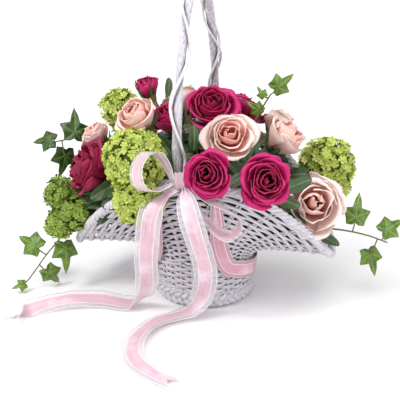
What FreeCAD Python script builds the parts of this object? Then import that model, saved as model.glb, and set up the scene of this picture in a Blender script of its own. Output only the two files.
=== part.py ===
import FreeCAD, Part

import math
import os

import Sketcher
from FreeCAD import Placement, Rotation, Vector

# A flower girl's wicker basket, filled with roses, viburnum and ivy and tied with a ribbon bow.
# The frame: +Z up, -Y towards the bow, the origin at the middle of the foot's underside.
# Sizes are millimetres.

DIMENSIONS = {
    # the woven body
    "baseRadius": 40, "baseThickness": 5,
    "footInner": 40.2, "footSole": 44, "footOuter": 49, "footShoulder": 13, "footHeight": 17,
    "bucketRadius": 44.5, "neckRadius": 46.5, "neckHeight": 45, "weaveThickness": 2.4,
    "rimHalfLength": 125, "rimHalfWidth": 80, "rimTipHeight": 47, "rimCrestHeight": 148,
    "rimRadius": 4.5, "stakeRadius": 1.25, "stakeCount": 24,
    # the handle
    "handleTop": 320, "handleHalfSpan": 75, "handleSpring": 175,
    "handleRadius": 3.2, "strandRadius": 1.8, "strandTwist": 125,
    # what holds the flowers
    "linerRadius": 39.5, "linerWall": 1, "linerBottom": 5.3, "linerTop": 60,
    "foamRadius": 36, "foamTop": 140,
    # the flowers' stems, measured along the stem from the point where their lines meet
    "roseStem": 2, "calyxRadius": 6, "calyxHeight": 7, "holeClearance": 0.05, "stemEnd": 15,
    "stemHoleDepth": 60, "stalkHoleDepth": 40,
    # the ribbon
    "ribbonWidth": 22, "waistWidth": 18, "ribbonThickness": 0.8, "ribbonGap": 4.3,
    # the foliage
    "vineRadius": 1, "leafThickness": 0.9,
}
RIM_SHARPNESS = 1.6        # how suddenly the rim climbs from the wing tips to the handle
ARCH_ROUNDNESS = 1.15      # 1 would be half an ellipse
HANDLE_TURN = 6            # degrees from the Y axis to the handle's plane
HANDLE_OFFSET = -8         # the handle's middle along X
# The front leg inside the basket, as (along the handle's plane, height); the back leg mirrors it.
HANDLE_LEG = [(-42, 68), (-51, 105), (-65, 140)]
HANDLE_SHOULDER = [(-70.6, 157), (-72.6, 163), (-74, 169)]     # where the strands start, above the rim
ARCH_STEPS = 56
STRAND_GAP = 0.6
STRAND_LEADS = (0, 75)     # degrees round the core at which each strand starts
# Between the neck and the rim the wall bends through a point this much wider and higher than the neck.
BEND_SPREAD, BEND_RISE, BEND_CLIMB = 1.03, 8, 0.4
WING_SEAM = 0.004          # the gap between the lower wall and the wings, as a share of the wings' height
WING_STEPS, WING_RISE_STEPS = 16, 8
RIM_STEPS = 48
KNOT_CORNER, KNOT_SIZE, KNOT_ROUNDING = Vector(-18, -100, 148.5), (16, 11, 14), 3
UP = Vector(0, 0, 1)
ROSE_FLOOR, ROSE_CROWN = -55, 50     # degrees of latitude at which a rose's head is cut flat
HEAD_FLOOR = -75                     # the same for a viburnum's head, which is round on top
STEM_CENTRE = Vector(0, 0, 105)
HIGH_STEM_CENTRE = Vector(4, -8, 122)

# name: the middle of the head, its radius. Every stem but one points at STEM_CENTRE.
ROSES = {
    "pink_rose_1": (Vector(-107, -27, 137), 22.5),
    "pink_rose_2": (Vector(-60, 24, 199), 10.5),
    "pink_rose_3": (Vector(5, 15, 185), 26),
    "pink_rose_4": (Vector(-36, -5, 177), 11),
    "pink_rose_5": (Vector(17, -101, 166), 19),
    "pink_rose_6": (Vector(66, -84, 156), 20),
    "pink_rose_7": (Vector(28, 66, 167), 20),
    "peach_rose_1": (Vector(-57, -40, 194), 19),
    "peach_rose_2": (Vector(30, -44, 180), 22),
    "peach_rose_3": (Vector(75, 10, 159), 22),
    "peach_rose_4": (Vector(105, -12, 96), 22),
    "peach_rose_5": (Vector(-107, 7, 155), 14.5),
    "peach_rose_6": (Vector(-30, 60, 172), 20),
    "peach_rose_7": (Vector(67, 63, 151), 18),
}
VIBURNUMS = {
    "viburnum_1": (Vector(-52, -80, 167), 24),
    "viburnum_2": (Vector(115, 48, 118), 24),
    "viburnum_3": (Vector(-135, -25, 94), 19),
    "viburnum_4": (Vector(-88, 28, 176), 14.5),
    "viburnum_5": (Vector(-78, 54, 146), 20),
}
LOWER_LOBE = (Vector(-46, -97, 133), 16)      # of viburnum_1, hanging over the rim
HIGH_STEMS = ("pink_rose_5",)                 # crosses the rim, so it points at HIGH_STEM_CENTRE

# Ribbon routes: (point, direction across the ribbon), with the share of the full width where it differs.
LEVEL = (1, 0.1, 0)
# The left loop lies in the plane of these two directions, and its outline runs out from the knot and back.
LOOP_START, LOOP_OUT, LOOP_UP = Vector(-20, -104, 157), Vector(-0.74, -0.55, 0.39), Vector(0.1, 0.5, 0.86)
LOOP_OUTLINE = [(0, 2, 0.35), (10, 12, 0.8), (24, 20, 1), (37, 17, 1), (44, 4, 1), (38, -9, 1), (24, -12, 1),
                (10, -7, 0.8), (0, -2, 0.35)]
BOW_LOOP_RIGHT = [
    ((-1.4, -95, 150), (0, -0.95, 0.3), 0.4), ((13, -102, 141), (0, -0.95, 0.3), 0.9),
    ((29, -105, 136), (0, -0.95, 0.3)),
    ((43, -103, 127), (0.2, -0.9, 0.3)), ((45, -101, 115), (0.3, -0.9, 0.1)),
    ((36, -101, 106), (0.2, -0.95, -0.1)),
    ((22, -101, 112), (0.1, -0.95, -0.1)), ((9, -99, 128), (0.1, -0.95, 0), 0.7),
    ((-4, -95, 146), (0, -0.95, 0), 0.4),
]
TAIL_LEFT = [
    ((-13, -102.5, 150), (1, 0, 0.3), 0.45), ((-24, -113, 145), (0.8, -0.3, 0.4), 0.9),
    ((-33, -119, 132), (0.95, 0, 0.3)), ((-38, -110, 104), (0.99, 0, 0.15)), ((-43, -91, 72), LEVEL),
    ((-46, -72, 44), LEVEL), ((-50, -60, 22), (0.9, 0.4, 0)), ((-58, -55, 8), (0.5, 0.85, 0.1)),
    ((-72, -53, 5), (0, 0.97, 0.25)), ((-98, -52, 7), (0, 0.95, 0.3)), ((-125, -59, 8), (0.1, 0.95, 0.3)),
    ((-151, -72, 6), (0.4, 0.9, 0.2)), ((-176, -102, 4), (0.75, 0.65, 0.1)),
]
TAIL_RIGHT = [
    ((-5, -102, 150), (1, 0, 0.2), 0.3), ((-2, -112, 144), (1, 0, 0.2), 0.8), ((3, -119, 129), (1, 0, 0.2)),
    ((8, -115, 108), (1, 0, 0.1)), ((11, -103, 86), LEVEL), ((12, -88, 65), LEVEL), ((10, -73, 42), LEVEL),
    ((5, -64, 22), (1, -0.3, 0.1)), ((-5, -66, 9), (0.75, -0.65, 0.1)), ((-19, -72, 5), (0.6, -0.8, 0.1)),
    ((-36, -88, 5), (0.8, -0.6, 0.15)), ((-47, -118, 6), (0.97, -0.05, 0.25)),
    ((-47, -147, 6), (0.9, 0.3, 0.2)), ((-37, -167, 5), (0.6, 0.75, 0.1)),
    ((-19, -182, 4.5), (0.4, 0.9, 0.1)), ((3, -196, 4.5), (0.4, 0.9, 0.1)),
]
# (degrees round the neck, height up the wall, share of the width).
# The height is -1 at the foot, 0 at the neck and 1 at the rim.
WAIST_ROUTE = [
    (281, 0.86, 0.45), (284, 0.66, 0.7), (288, 0.44, 0.85), (294, 0.22, 0.95), (303, 0.02, 0.95),
    (316, -0.16, 1), (334, -0.34, 1), (352, -0.45, 1), (530, -0.45, 1), (548, -0.36, 0.85),
    (562, -0.14, 0.75), (576, 0.18, 0.85), (590, 0.45, 0.9),
    (604, 0.7, 0.7), (615, 0.86, 0.45),
]

WAIST_STEP = 4             # degrees between the waist ribbon's folds

# Foliage: each sprig is a list of (stalk's route, leaves).
# Each leaf is (middle, length, facing, tip's direction).
FACING_FRONT = (0.15, -0.88, 0.45)
SPRIGS = {
    "ivy_upper_left": [
        ([(-27, 9, 113), (-60, 22, 124), (-95, 30, 130), (-128, 25, 143), (-147, 21, 141)], [
            ((-133, 24, 153), 28, FACING_FRONT, (0.2, 0, 1)), ((-160, 20, 141), 22, FACING_FRONT, (-1, 0, 0)),
            ((-144, 22, 122), 26, FACING_FRONT, (-0.3, 0, -1))]),
    ],
    "ivy_lower_left": [
        ([(-27, 0, 82), (-62, 2, 66), (-100, 3, 62), (-131, -5, 60), (-152, -18, 40), (-168, -28, 18)], [
            ((-134, -31, 46), 26, FACING_FRONT, (0, 0, -1)),
            ((-171, -16, 44), 26, FACING_FRONT, (-0.7, 0, 0.4)),
            ((-151, -26, 17), 22, FACING_FRONT, (0.6, 0, -0.8)),
            ((-178, -38, 9), 13, FACING_FRONT, (-0.8, 0, -0.5))]),
    ],
    "ivy_upper_right": [
        ([(21, 17, 133), (40, 33, 160), (49, 41, 176), (58, 42, 192)], [
            ((67, 43, 202), 22, FACING_FRONT, (0.8, 0, 0.6)),
            ((50, 40, 193), 11, FACING_FRONT, (-0.6, 0, 0.8)),
            ((45, 41, 177), 16, FACING_FRONT, (-0.7, 0, 0.5))]),
    ],
    "ivy_right": [
        ([(27, 7, 78), (70, 14, 66), (105, 14, 66), (134, 10, 67), (158, 12, 62), (178, 13, 55)], [
            ((147, 8, 86), 26, FACING_FRONT, (0.1, 0, 1)), ((179, 13, 71), 24, FACING_FRONT, (0.7, 0, 0.6)),
            ((163, 11, 39), 24, FACING_FRONT, (0.2, 0, -1))]),
    ],
    "ivy_back": [
        ([(-8, 27, 108), (-17, 56, 143), (-24, 80, 162), (-30, 104, 156), (-34, 117, 134)], [
            ((-14, 96, 158), 26, (0, 0.9, 0.4), (0.7, 0, 0.6)),
            ((-46, 104, 143), 24, (0, 0.9, 0.4), (-1, 0, 0)),
            ((-28, 124, 117), 26, (0, 0.9, 0.3), (0.2, 0, -1))]),
    ],
    "rose_leaves": [
        ([(-11, 3, 130), (-20, 6, 160), (-34, 12, 188)], [((-37, 13, 203), 30, FACING_FRONT, (0.1, 0, 1))]),
        ([(-2, -14, 130), (-4, -28, 157), (-6, -33, 166)], [((-6, -34, 176), 24, FACING_FRONT, (0.1, 0, 1))]),
        ([(27, 0, 68), (70, -2, 60), (100, -3, 61)],
         [((122, -4, 62), 26, (0.1, -0.5, 0.85), (1, -0.2, -0.1))]),
        ([(18, -20, 128), (52, -44, 140), (78, -50, 142)],
         [((95, -56, 142), 30, FACING_FRONT, (0.9, 0, 0.3))]),
        ([(-14, 22, 106), (-36, 54, 132), (-47, 69, 146)],
         [((-54, 79, 156), 26, (-0.4, 0.8, 0.4), (-0.5, 0, 0.8))]),
    ],
}
IVY_OUTLINE = [(0, -0.32), (0.3, -0.42), (0.5, -0.22), (0.36, 0.0), (0.46, 0.2), (0.17, 0.16), (0, 0.58),
               (-0.17, 0.16), (-0.46, 0.2), (-0.36, 0.0), (-0.5, -0.22), (-0.3, -0.42)]
OVAL_OUTLINE = [
    (0, -0.5), (0.2, -0.3), (0.28, -0.02), (0.2, 0.25), (0, 0.5), (-0.2, 0.25), (-0.28, -0.02), (-0.2, -0.3)]

doc = FreeCAD.newDocument("FlowerGirlBasket")
sheet = doc.addObject("Spreadsheet::Sheet", "Sheet")
SUB_PARTS = []


# ---- the document -------------------------------------------------------------------------------

def stem_centre(name):
    return HIGH_STEM_CENTRE if name in HIGH_STEMS else STEM_CENTRE


def fill_sheet():
    """One row per driving dimension, then each flower head's radius and its distance along the stem."""
    rows = dict(DIMENSIONS)
    for name, (middle, radius) in {**ROSES, **VIBURNUMS}.items():
        rows[name + "_radius"] = radius
        rows[name + "_reach"] = round((middle - stem_centre(name)).Length, 6)
    for row, (alias, value) in enumerate(rows.items(), start=1):
        sheet.set("A%d" % row, alias)
        sheet.set("B%d" % row, str(value))
        sheet.setAlias("B%d" % row, alias)
    doc.recompute()


def dim(alias):
    return float(getattr(sheet, alias))


def add_feature(label, shape):
    """A sub-part whose shape is made with Part's functions, already in the basket's frame."""
    feature = doc.addObject("Part::Feature", label)
    feature.Label = label
    feature.Shape = shape
    feature.Placement = Placement()
    SUB_PARTS.append(feature)


def add_primitive(kind, name, expressions, placement=Placement()):
    """A Part primitive with its sizes bound to the sheet."""
    primitive = doc.addObject(kind, name)
    for prop, expression in expressions.items():
        primitive.setExpression(prop, expression)
    primitive.Placement = placement
    return primitive


def add_turned_body(label, corners):
    """A PartDesign body turned about Z. Each corner is a pair of sheet expressions: radius, height."""
    body = doc.addObject("PartDesign::Body", label)
    body.Label = label
    sketch = body.newObject("Sketcher::SketchObject", label + "_profile")
    plane = next(f for f in body.Origin.OriginFeatures if f.Role == "XZ_Plane")
    sketch.AttachmentSupport = [(plane, "")]
    sketch.MapMode = "FlatFace"
    points = [Vector(*(float(sketch.evalExpression(e)) for e in corner), 0) for corner in corners]
    count = len(points)
    for i in range(count):
        sketch.addGeometry(Part.LineSegment(points[i], points[(i + 1) % count]), False)
    for i in range(count):
        sketch.addConstraint(Sketcher.Constraint("Coincident", i, 2, (i + 1) % count, 1))
    for i, corner in enumerate(corners):
        for kind, expression, value in zip(("DistanceX", "DistanceY"), corner, points[i][:2]):
            if expression == "0":
                axis = -2 if kind == "DistanceX" else -1
                sketch.addConstraint(Sketcher.Constraint("PointOnObject", i, 1, axis))
            else:
                index = sketch.addConstraint(Sketcher.Constraint(kind, -1, 1, i, 1, value))
                sketch.setExpression("Constraints[%d]" % index, expression)
    turned = body.newObject("PartDesign::Revolution", label + "_turned")
    turned.Profile = sketch
    turned.ReferenceAxis = (sketch, ["V_Axis"])
    turned.Angle = 360
    SUB_PARTS.append(body)


# ---- tubes and strips ---------------------------------------------------------------------------

def rounded_path(points, share=0.45):
    """Straight runs joined by tangent arcs, each taking a share of the shorter run beside it."""
    points = [Vector(*p) for p in points]
    edges, start = [], points[0]
    for before, corner, after in zip(points, points[1:], points[2:]):
        to_before, to_after = (before - corner), (after - corner)
        reach = share * min(to_before.Length, to_after.Length)
        first = corner + to_before.normalize() * reach
        last = corner + to_after.normalize() * reach
        middle_way = (to_before + to_after).normalize()
        half_turn = (math.pi - to_before.getAngle(to_after)) / 2
        radius = reach / math.tan(half_turn)
        middle = corner + middle_way * (math.hypot(radius, reach) - radius)
        if (first - start).Length > 1e-6:
            edges.append(Part.LineSegment(start, first).toShape())
        edges.append(Part.Arc(first, middle, last).toShape())
        start = last
    edges.append(Part.LineSegment(start, points[-1]).toShape())
    return Part.Wire(edges)


def tube(points, radius, share=0.45):
    path = rounded_path(points, share)
    start, ahead = Vector(*points[0]), Vector(*points[1])
    disc = Part.Wire([Part.makeCircle(radius, start, ahead - start)])
    return path.makePipeShell([disc], True, False)


def strip(route, width, thickness):
    """A flat ribbon through (point, direction across, share of the width), as ruled pieces."""
    middles = [Vector(*stop[0]) for stop in route]
    sections = []
    for i, stop in enumerate(route):
        ahead = middles[min(i + 1, len(route) - 1)] - middles[max(i - 1, 0)]
        across = Vector(*stop[1])
        across = across - ahead * (across.dot(ahead) / ahead.dot(ahead))
        normal = ahead.cross(across).normalize() * (thickness / 2)
        across = across.normalize() * (width / 2 * (stop[2] if len(stop) > 2 else 1))
        corners = [middles[i] + across * a + normal * n for a, n in ((1, 1), (-1, 1), (-1, -1), (1, -1))]
        sections.append(Part.makePolygon(corners + corners[:1]))
    pieces = [Part.makeLoft(list(pair), True, True) for pair in zip(sections, sections[1:])]
    return pieces[0].multiFuse(pieces[1:])


# ---- the woven body -----------------------------------------------------------------------------

def rim_point(angle):
    climb = abs(math.sin(angle)) ** RIM_SHARPNESS
    height = dim("rimTipHeight") + (dim("rimCrestHeight") - dim("rimTipHeight")) * climb
    return Vector(dim("rimHalfLength") * math.cos(angle), dim("rimHalfWidth") * math.sin(angle), height)


def wall_point(angle, height):
    """The wall's inner face: height is -1 at the foot, 0 at the neck and 1 at the rim's middle."""
    way = Vector(math.cos(angle), math.sin(angle), 0)
    if height < 0:
        radius = dim("neckRadius") + (dim("neckRadius") - dim("bucketRadius")) * height
        return way * radius + UP * (dim("neckHeight") + (dim("neckHeight") - dim("footHeight")) * height)
    top = rim_point(angle)
    neck = way * dim("neckRadius") + UP * dim("neckHeight")
    bend = way * (BEND_SPREAD * dim("neckRadius"))
    bend += UP * (dim("neckHeight") + BEND_RISE + BEND_CLIMB * (top.z - dim("neckHeight")))
    return neck * (1 - height) ** 2 + bend * (2 * height * (1 - height)) + top * height ** 2


def wall_normal(angle, height):
    """Outwards from the wall."""
    step = 0.001
    round_way = wall_point(angle + step, height) - wall_point(angle - step, height)
    up_way = wall_point(angle, min(height + step, 1)) - wall_point(angle, height - step)
    return round_way.cross(up_way).normalize()


def wall_top(angle):
    """How far up the wall the rim's underside is."""
    top, gap = rim_point(angle), dim("rimRadius") + 0.5
    low, high = 0.5, 1.0
    for _ in range(20):
        middle = (low + high) / 2
        if (wall_point(angle, middle) - top).Length > gap:
            low = middle
        else:
            high = middle
    return low


def half_angles(half, count):
    return [math.pi * (half + i / count) for i in range(count + 1)]


def make_wing_weave():
    """The flared skin from the neck to the rim, as two halves that meet along the wing tips."""
    thickness, rise = dim("weaveThickness"), WING_RISE_STEPS
    halves = []
    for half in (0, 1):
        sections = []
        for angle in half_angles(half, WING_STEPS):
            heights = [WING_SEAM + (wall_top(angle) - WING_SEAM) * i / rise for i in range(rise + 1)]
            inner = [wall_point(angle, h) for h in heights]
            outer = [p + wall_normal(angle, h) * thickness for p, h in zip(inner, heights)]
            sections.append(Part.makePolygon(inner + outer[::-1] + inner[:1]))
        halves.append(Part.makeLoft(sections, True, True))
    return halves[0].fuse(halves[1])


def make_rim_border():
    count = RIM_STEPS
    points = [rim_point(2 * math.pi * i / count) for i in range(count)]
    middles = [(a + b) * 0.5 for a, b in zip(points, points[1:] + points[:1])]
    halves = []
    for first, last in ((0, count // 2), (count // 2, count)):
        route = [middles[first - 1]] + points[first:last] + [middles[last - 1]]
        halves.append(tube(route, dim("rimRadius"), 0.48))
    return halves[0].fuse(halves[1])


def make_side_stakes():
    """Rods just inside the weave, from the foot to the rim."""
    inset = dim("stakeRadius") + 1.1
    stakes = []
    for i in range(int(dim("stakeCount"))):
        angle = 2 * math.pi * (i + 0.5) / dim("stakeCount")
        heights = [-0.995, -0.5, 0.02, 0.2, 0.38, 0.56, 0.75, wall_top(angle) - 0.02]
        route = [wall_point(angle, h) - wall_normal(angle, h) * inset for h in heights]
        stakes.append(tube(route, dim("stakeRadius")))
    return Part.makeCompound(stakes)


# ---- the handle ---------------------------------------------------------------------------------

def handle_point(across, height):
    turn = math.radians(HANDLE_TURN)
    return Vector(HANDLE_OFFSET + across * math.sin(turn), across * math.cos(turn), height)


def handle_arch(count):
    """Points over the arch from the front leg's spring to the back one's."""
    span, spring, rise = dim("handleHalfSpan"), dim("handleSpring"), dim("handleTop") - dim("handleSpring")
    points = []
    for i in range(count + 1):
        angle = math.pi * i / count
        across = -span * math.copysign(abs(math.cos(angle)) ** ARCH_ROUNDNESS, math.cos(angle))
        points.append(handle_point(across, spring + rise * math.sin(angle) ** ARCH_ROUNDNESS))
    return points


def handle_line(legs):
    """The handle's middle line, from the foot of the front leg to the foot of the back one."""
    front = [handle_point(across, height) for across, height in legs]
    back = [handle_point(-across, height) for across, height in reversed(legs)]
    return front + handle_arch(ARCH_STEPS) + back


def make_handle_core():
    return tube(handle_line(HANDLE_LEG + HANDLE_SHOULDER), dim("handleRadius"), 0.48)


def make_handle_wrap():
    """Two thin strands side by side, wound along the handle above the rim."""
    offset = dim("handleRadius") + dim("strandRadius") + STRAND_GAP
    centre_line = handle_line(HANDLE_SHOULDER)
    sideways = Vector(math.cos(math.radians(HANDLE_TURN)), -math.sin(math.radians(HANDLE_TURN)), 0)
    strands = []
    for lead in STRAND_LEADS:
        route, travelled = [], 0
        for i, point in enumerate(centre_line):
            if i:
                travelled += (point - centre_line[i - 1]).Length
            before, after = centre_line[max(i - 1, 0)], centre_line[min(i + 1, len(centre_line) - 1)]
            outwards = (after - before).cross(sideways).normalize()
            angle = 2 * math.pi * travelled / dim("strandTwist") + math.radians(lead)
            route.append(
                point + sideways * (offset * math.cos(angle)) + outwards * (offset * math.sin(angle)))
        strands.append(tube(route, dim("strandRadius")))
    return Part.makeCompound(strands)


# ---- the flowers --------------------------------------------------------------------------------

def stem_placement(name, middle):
    centre = stem_centre(name)
    return Placement(centre, Rotation(UP, middle - centre))


def make_rose(name, middle):
    """A head cut flat above and below, on a stem that widens into a calyx."""
    radius, reach = "Sheet.%s_radius" % name, "Sheet.%s_reach" % name
    floor = "%s + %s * sin(%d)" % (reach, radius, ROSE_FLOOR)
    placement = stem_placement(name, middle)
    bloom = add_primitive("Part::Sphere", name + "_bloom", {"Radius": radius})
    bloom.Angle1, bloom.Angle2 = ROSE_FLOOR, ROSE_CROWN
    bloom.Placement = Placement(middle, placement.Rotation)
    stem = add_primitive("Part::Cylinder", name + "_stalk", {
        "Radius": "Sheet.roseStem", "Height": "%s - Sheet.calyxHeight - Sheet.stemEnd" % floor})
    stem.setExpression(".Placement.Base.z", "Sheet.stemEnd")
    calyx = add_primitive("Part::Cone", name + "_calyx", {
        "Radius1": "Sheet.roseStem", "Radius2": "min(Sheet.calyxRadius; 0.5 * %s)" % radius,
        "Height": "Sheet.calyxHeight"})
    calyx.setExpression(".Placement.Base.z", "%s - Sheet.calyxHeight" % floor)
    whole = doc.addObject("Part::MultiFuse", name + "_stem")
    whole.Shapes = [stem, calyx]
    whole.Placement = placement
    SUB_PARTS.extend([bloom, whole])


def make_viburnum(name, middle):
    """A round head cut flat where the stem meets it."""
    radius, reach = "Sheet.%s_radius" % name, "Sheet.%s_reach" % name
    placement = stem_placement(name, middle)
    head = add_primitive("Part::Sphere", name + "_head", {"Radius": radius})
    head.Angle1 = HEAD_FLOOR
    head.Placement = Placement(middle, placement.Rotation)
    stem = add_primitive("Part::Cylinder", name + "_stem", {
        "Radius": "Sheet.roseStem",
        "Height": "%s + %s * sin(%d) - Sheet.stemEnd" % (reach, radius, HEAD_FLOOR)})
    direction = (middle - stem_centre(name)).normalize()
    stem.Placement = Placement(stem_centre(name) + direction * dim("stemEnd"), placement.Rotation)
    if name == "viburnum_1":
        lobe = add_primitive("Part::Sphere", name + "_lobe", {}, Placement(LOWER_LOBE[0], Rotation()))
        lobe.Radius = LOWER_LOBE[1]
        upper, head = head, doc.addObject("Part::MultiFuse", name + "_whole_head")
        upper.Label = name + "_upper_lobe"
        head.Shapes = [upper, lobe]
        head.Label = name + "_head"
    SUB_PARTS.extend([head, stem])


def make_foam():
    """The foam block, with a hole for each stem and for each sprig's stalk."""
    block = add_primitive("Part::Cylinder", "foam_block", {
        "Radius": "Sheet.foamRadius", "Height": "Sheet.foamTop - Sheet.linerBottom - Sheet.linerWall"})
    block.setExpression(".Placement.Base.z", "Sheet.linerBottom + Sheet.linerWall")
    holes = []
    for name, (middle, _) in {**ROSES, **VIBURNUMS}.items():
        direction = (middle - stem_centre(name)).normalize()
        base = stem_centre(name) + direction * dim("stemEnd")
        hole = add_primitive("Part::Cylinder", name + "_hole", {
            "Radius": "Sheet.roseStem + Sheet.holeClearance"}, Placement(base, Rotation(UP, direction)))
        hole.setExpression("Height", "Sheet.stemHoleDepth")
        holes.append(hole)
    for name, stalks in SPRIGS.items():
        for i, (route, _) in enumerate(stalks):
            start, ahead = Vector(*route[0]), Vector(*route[1])
            hole = add_primitive("Part::Cylinder", "%s_hole_%d" % (name, i), {
                "Radius": "Sheet.vineRadius + Sheet.holeClearance"},
                Placement(start, Rotation(UP, ahead - start)))
            hole.setExpression("Height", "Sheet.stalkHoleDepth")
            holes.append(hole)
    tool = doc.addObject("Part::MultiFuse", "foam_holes")
    tool.Shapes = holes
    foam = doc.addObject("Part::Cut", "floral_foam")
    foam.Base, foam.Tool = block, tool
    SUB_PARTS.append(foam)


# ---- the foliage --------------------------------------------------------------------------------

def leaf_plate(middle, length, facing, tip_way, outline):
    """A flat leaf, and the point where its stalk meets it."""
    normal = Vector(*facing).normalize()
    tip = Vector(*tip_way)
    tip = (tip - normal * tip.dot(normal)).normalize()
    side = tip.cross(normal)
    middle = Vector(*middle) - normal * (dim("leafThickness") / 2)
    corners = [middle + side * (u * length) + tip * (v * length) for u, v in outline]
    plate = Part.Face(Part.makePolygon(corners + corners[:1])).extrude(normal * dim("leafThickness"))
    foot = Vector(*(middle + tip * ((outline[0][1] + 0.06) * length)))
    return plate, foot + normal * (dim("leafThickness") / 2)


def make_sprig(name, stalks, outline):
    """Stalks with their leaves, each leaf joined to the nearest point of its stalk."""
    solids = []
    for route, leaves in stalks:
        stalk = tube(route, dim("vineRadius"))
        path = rounded_path(route)
        pieces = []
        for middle, length, facing, tip_way in leaves:
            plate, foot = leaf_plate(middle, length, facing, tip_way, outline)
            nearest = path.distToShape(Part.Vertex(foot))[1][0][0]
            way = foot - nearest
            petiole = Part.makeCylinder(0.8 * dim("vineRadius"), way.Length, nearest, way)
            pieces += [petiole, plate]
        solids.append(stalk.multiFuse(pieces))
    add_feature(name, Part.makeCompound(solids) if len(solids) > 1 else solids[0])


# ---- the ribbon ---------------------------------------------------------------------------------

def make_waist_ribbon():
    """Wound round the neck from the knot, down one side, behind, and up the other."""
    offset, step = dim("weaveThickness") + dim("ribbonGap"), WAIST_STEP
    fine_route = []
    for here, there in zip(WAIST_ROUTE, WAIST_ROUTE[1:]):
        pieces = max(1, round((there[0] - here[0]) / step))
        fine_route += [[a + (b - a) * i / pieces for a, b in zip(here, there)] for i in range(pieces)]
    stops = []
    for degrees, height, share in fine_route + [WAIST_ROUTE[-1]]:
        angle = math.radians(degrees)
        stops.append((wall_point(angle, height) + wall_normal(angle, height) * offset, angle, height, share))
    route = []
    for i, (point, angle, height, share) in enumerate(stops):
        along = stops[min(i + 1, len(stops) - 1)][0] - stops[max(i - 1, 0)][0]
        route.append((point, wall_normal(angle, height).cross(along), share))
    return strip(route, dim("waistWidth"), dim("ribbonThickness"))


def make_bow():
    width, thickness = dim("ribbonWidth"), dim("ribbonThickness")
    across = LOOP_OUT.cross(LOOP_UP)
    left = [
        (LOOP_START + LOOP_OUT * out + LOOP_UP * rise, across, share) for out, rise, share in LOOP_OUTLINE]
    for label, route in (("bow_loop_left", left), ("bow_loop_right", BOW_LOOP_RIGHT),
                         ("ribbon_tail_left", TAIL_LEFT), ("ribbon_tail_right", TAIL_RIGHT)):
        add_feature(label, strip(route, width, thickness))
    block = add_primitive("Part::Box", "knot_block", {}, Placement(KNOT_CORNER, Rotation()))
    block.Length, block.Width, block.Height = KNOT_SIZE
    knot = doc.addObject("Part::Fillet", "bow_knot")
    knot.Base = block
    doc.recompute()
    knot.Edges = [(i + 1, KNOT_ROUNDING, KNOT_ROUNDING) for i in range(len(block.Shape.Edges))]
    SUB_PARTS.append(knot)


def build():
    fill_sheet()
    add_turned_body("base_weave", [
        ("0", "0"), ("Sheet.baseRadius", "0"), ("Sheet.baseRadius", "Sheet.baseThickness"),
        ("0", "Sheet.baseThickness")])
    add_turned_body("foot_border", [
        ("Sheet.footInner", "0"), ("Sheet.footSole", "0"), ("Sheet.footOuter", "0.5 * Sheet.footShoulder"),
        ("Sheet.footOuter", "Sheet.footShoulder"), ("Sheet.bucketRadius + 2", "Sheet.footHeight"),
        ("Sheet.footInner", "Sheet.footHeight")])
    add_turned_body("lower_wall_weave", [
        ("Sheet.bucketRadius", "Sheet.footHeight"),
        ("Sheet.bucketRadius + Sheet.weaveThickness", "Sheet.footHeight"),
        ("Sheet.neckRadius + Sheet.weaveThickness", "Sheet.neckHeight - 1"),
        ("Sheet.neckRadius", "Sheet.neckHeight - 1")])
    add_feature("wing_weave", make_wing_weave())
    add_feature("rim_border", make_rim_border())
    add_feature("side_stakes", make_side_stakes())
    add_feature("handle_core", make_handle_core())
    add_feature("handle_wrap", make_handle_wrap())
    add_turned_body("plastic_liner", [
        ("0", "Sheet.linerBottom"), ("Sheet.linerRadius", "Sheet.linerBottom"),
        ("Sheet.linerRadius", "Sheet.linerTop"), ("Sheet.linerRadius - Sheet.linerWall", "Sheet.linerTop"),
        ("Sheet.linerRadius - Sheet.linerWall", "Sheet.linerBottom + Sheet.linerWall"),
        ("0", "Sheet.linerBottom + Sheet.linerWall")])
    make_foam()
    for name, (middle, _) in ROSES.items():
        make_rose(name, middle)
    for name, (middle, _) in VIBURNUMS.items():
        make_viburnum(name, middle)
    for name, stalks in SPRIGS.items():
        make_sprig(name, stalks, OVAL_OUTLINE if name == "rose_leaves" else IVY_OUTLINE)
    add_feature("waist_ribbon", make_waist_ribbon())
    make_bow()
    doc.recompute()


def check_and_write():
    failed = [o.Label for o in doc.Objects if {"Invalid", "Error"} & set(o.State)]
    failed += [o.Label for o in SUB_PARTS if o.Shape.isNull() or not o.Shape.isValid() or o.Shape.Volume <= 0]
    if failed:
        raise RuntimeError("these sub-parts failed: %s" % ", ".join(sorted(set(failed))))
    os.makedirs("parts", exist_ok=True)
    for part in SUB_PARTS:
        part.Shape.exportStep("parts/%s.step" % part.Label)
    print("wrote %d sub-parts" % len(SUB_PARTS))


build()
check_and_write()
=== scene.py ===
import math
import random

import bpy
import numpy as np
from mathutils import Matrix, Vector, noise


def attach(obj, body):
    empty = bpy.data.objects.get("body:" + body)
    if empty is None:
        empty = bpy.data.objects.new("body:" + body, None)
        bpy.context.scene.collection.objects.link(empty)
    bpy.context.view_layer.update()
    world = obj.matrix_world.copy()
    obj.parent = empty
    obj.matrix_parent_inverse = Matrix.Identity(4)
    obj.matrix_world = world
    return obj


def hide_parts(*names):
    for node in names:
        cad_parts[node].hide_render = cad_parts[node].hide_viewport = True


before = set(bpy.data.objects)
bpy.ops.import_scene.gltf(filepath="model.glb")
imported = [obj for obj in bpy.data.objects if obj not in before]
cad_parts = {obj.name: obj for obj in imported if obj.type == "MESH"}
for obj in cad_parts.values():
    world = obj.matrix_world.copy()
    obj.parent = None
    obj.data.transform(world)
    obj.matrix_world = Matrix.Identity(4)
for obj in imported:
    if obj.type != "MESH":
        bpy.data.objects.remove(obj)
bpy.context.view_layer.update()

# A white-washed wicker flower girl basket with roses, viburnum, ivy and a ribbon bow.
# Points are worked out in millimetres in the row frame and written in metres.
MM = 0.001
UP = np.array((0.0, 0.0, 1.0))
TAU = 2 * math.pi
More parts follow.
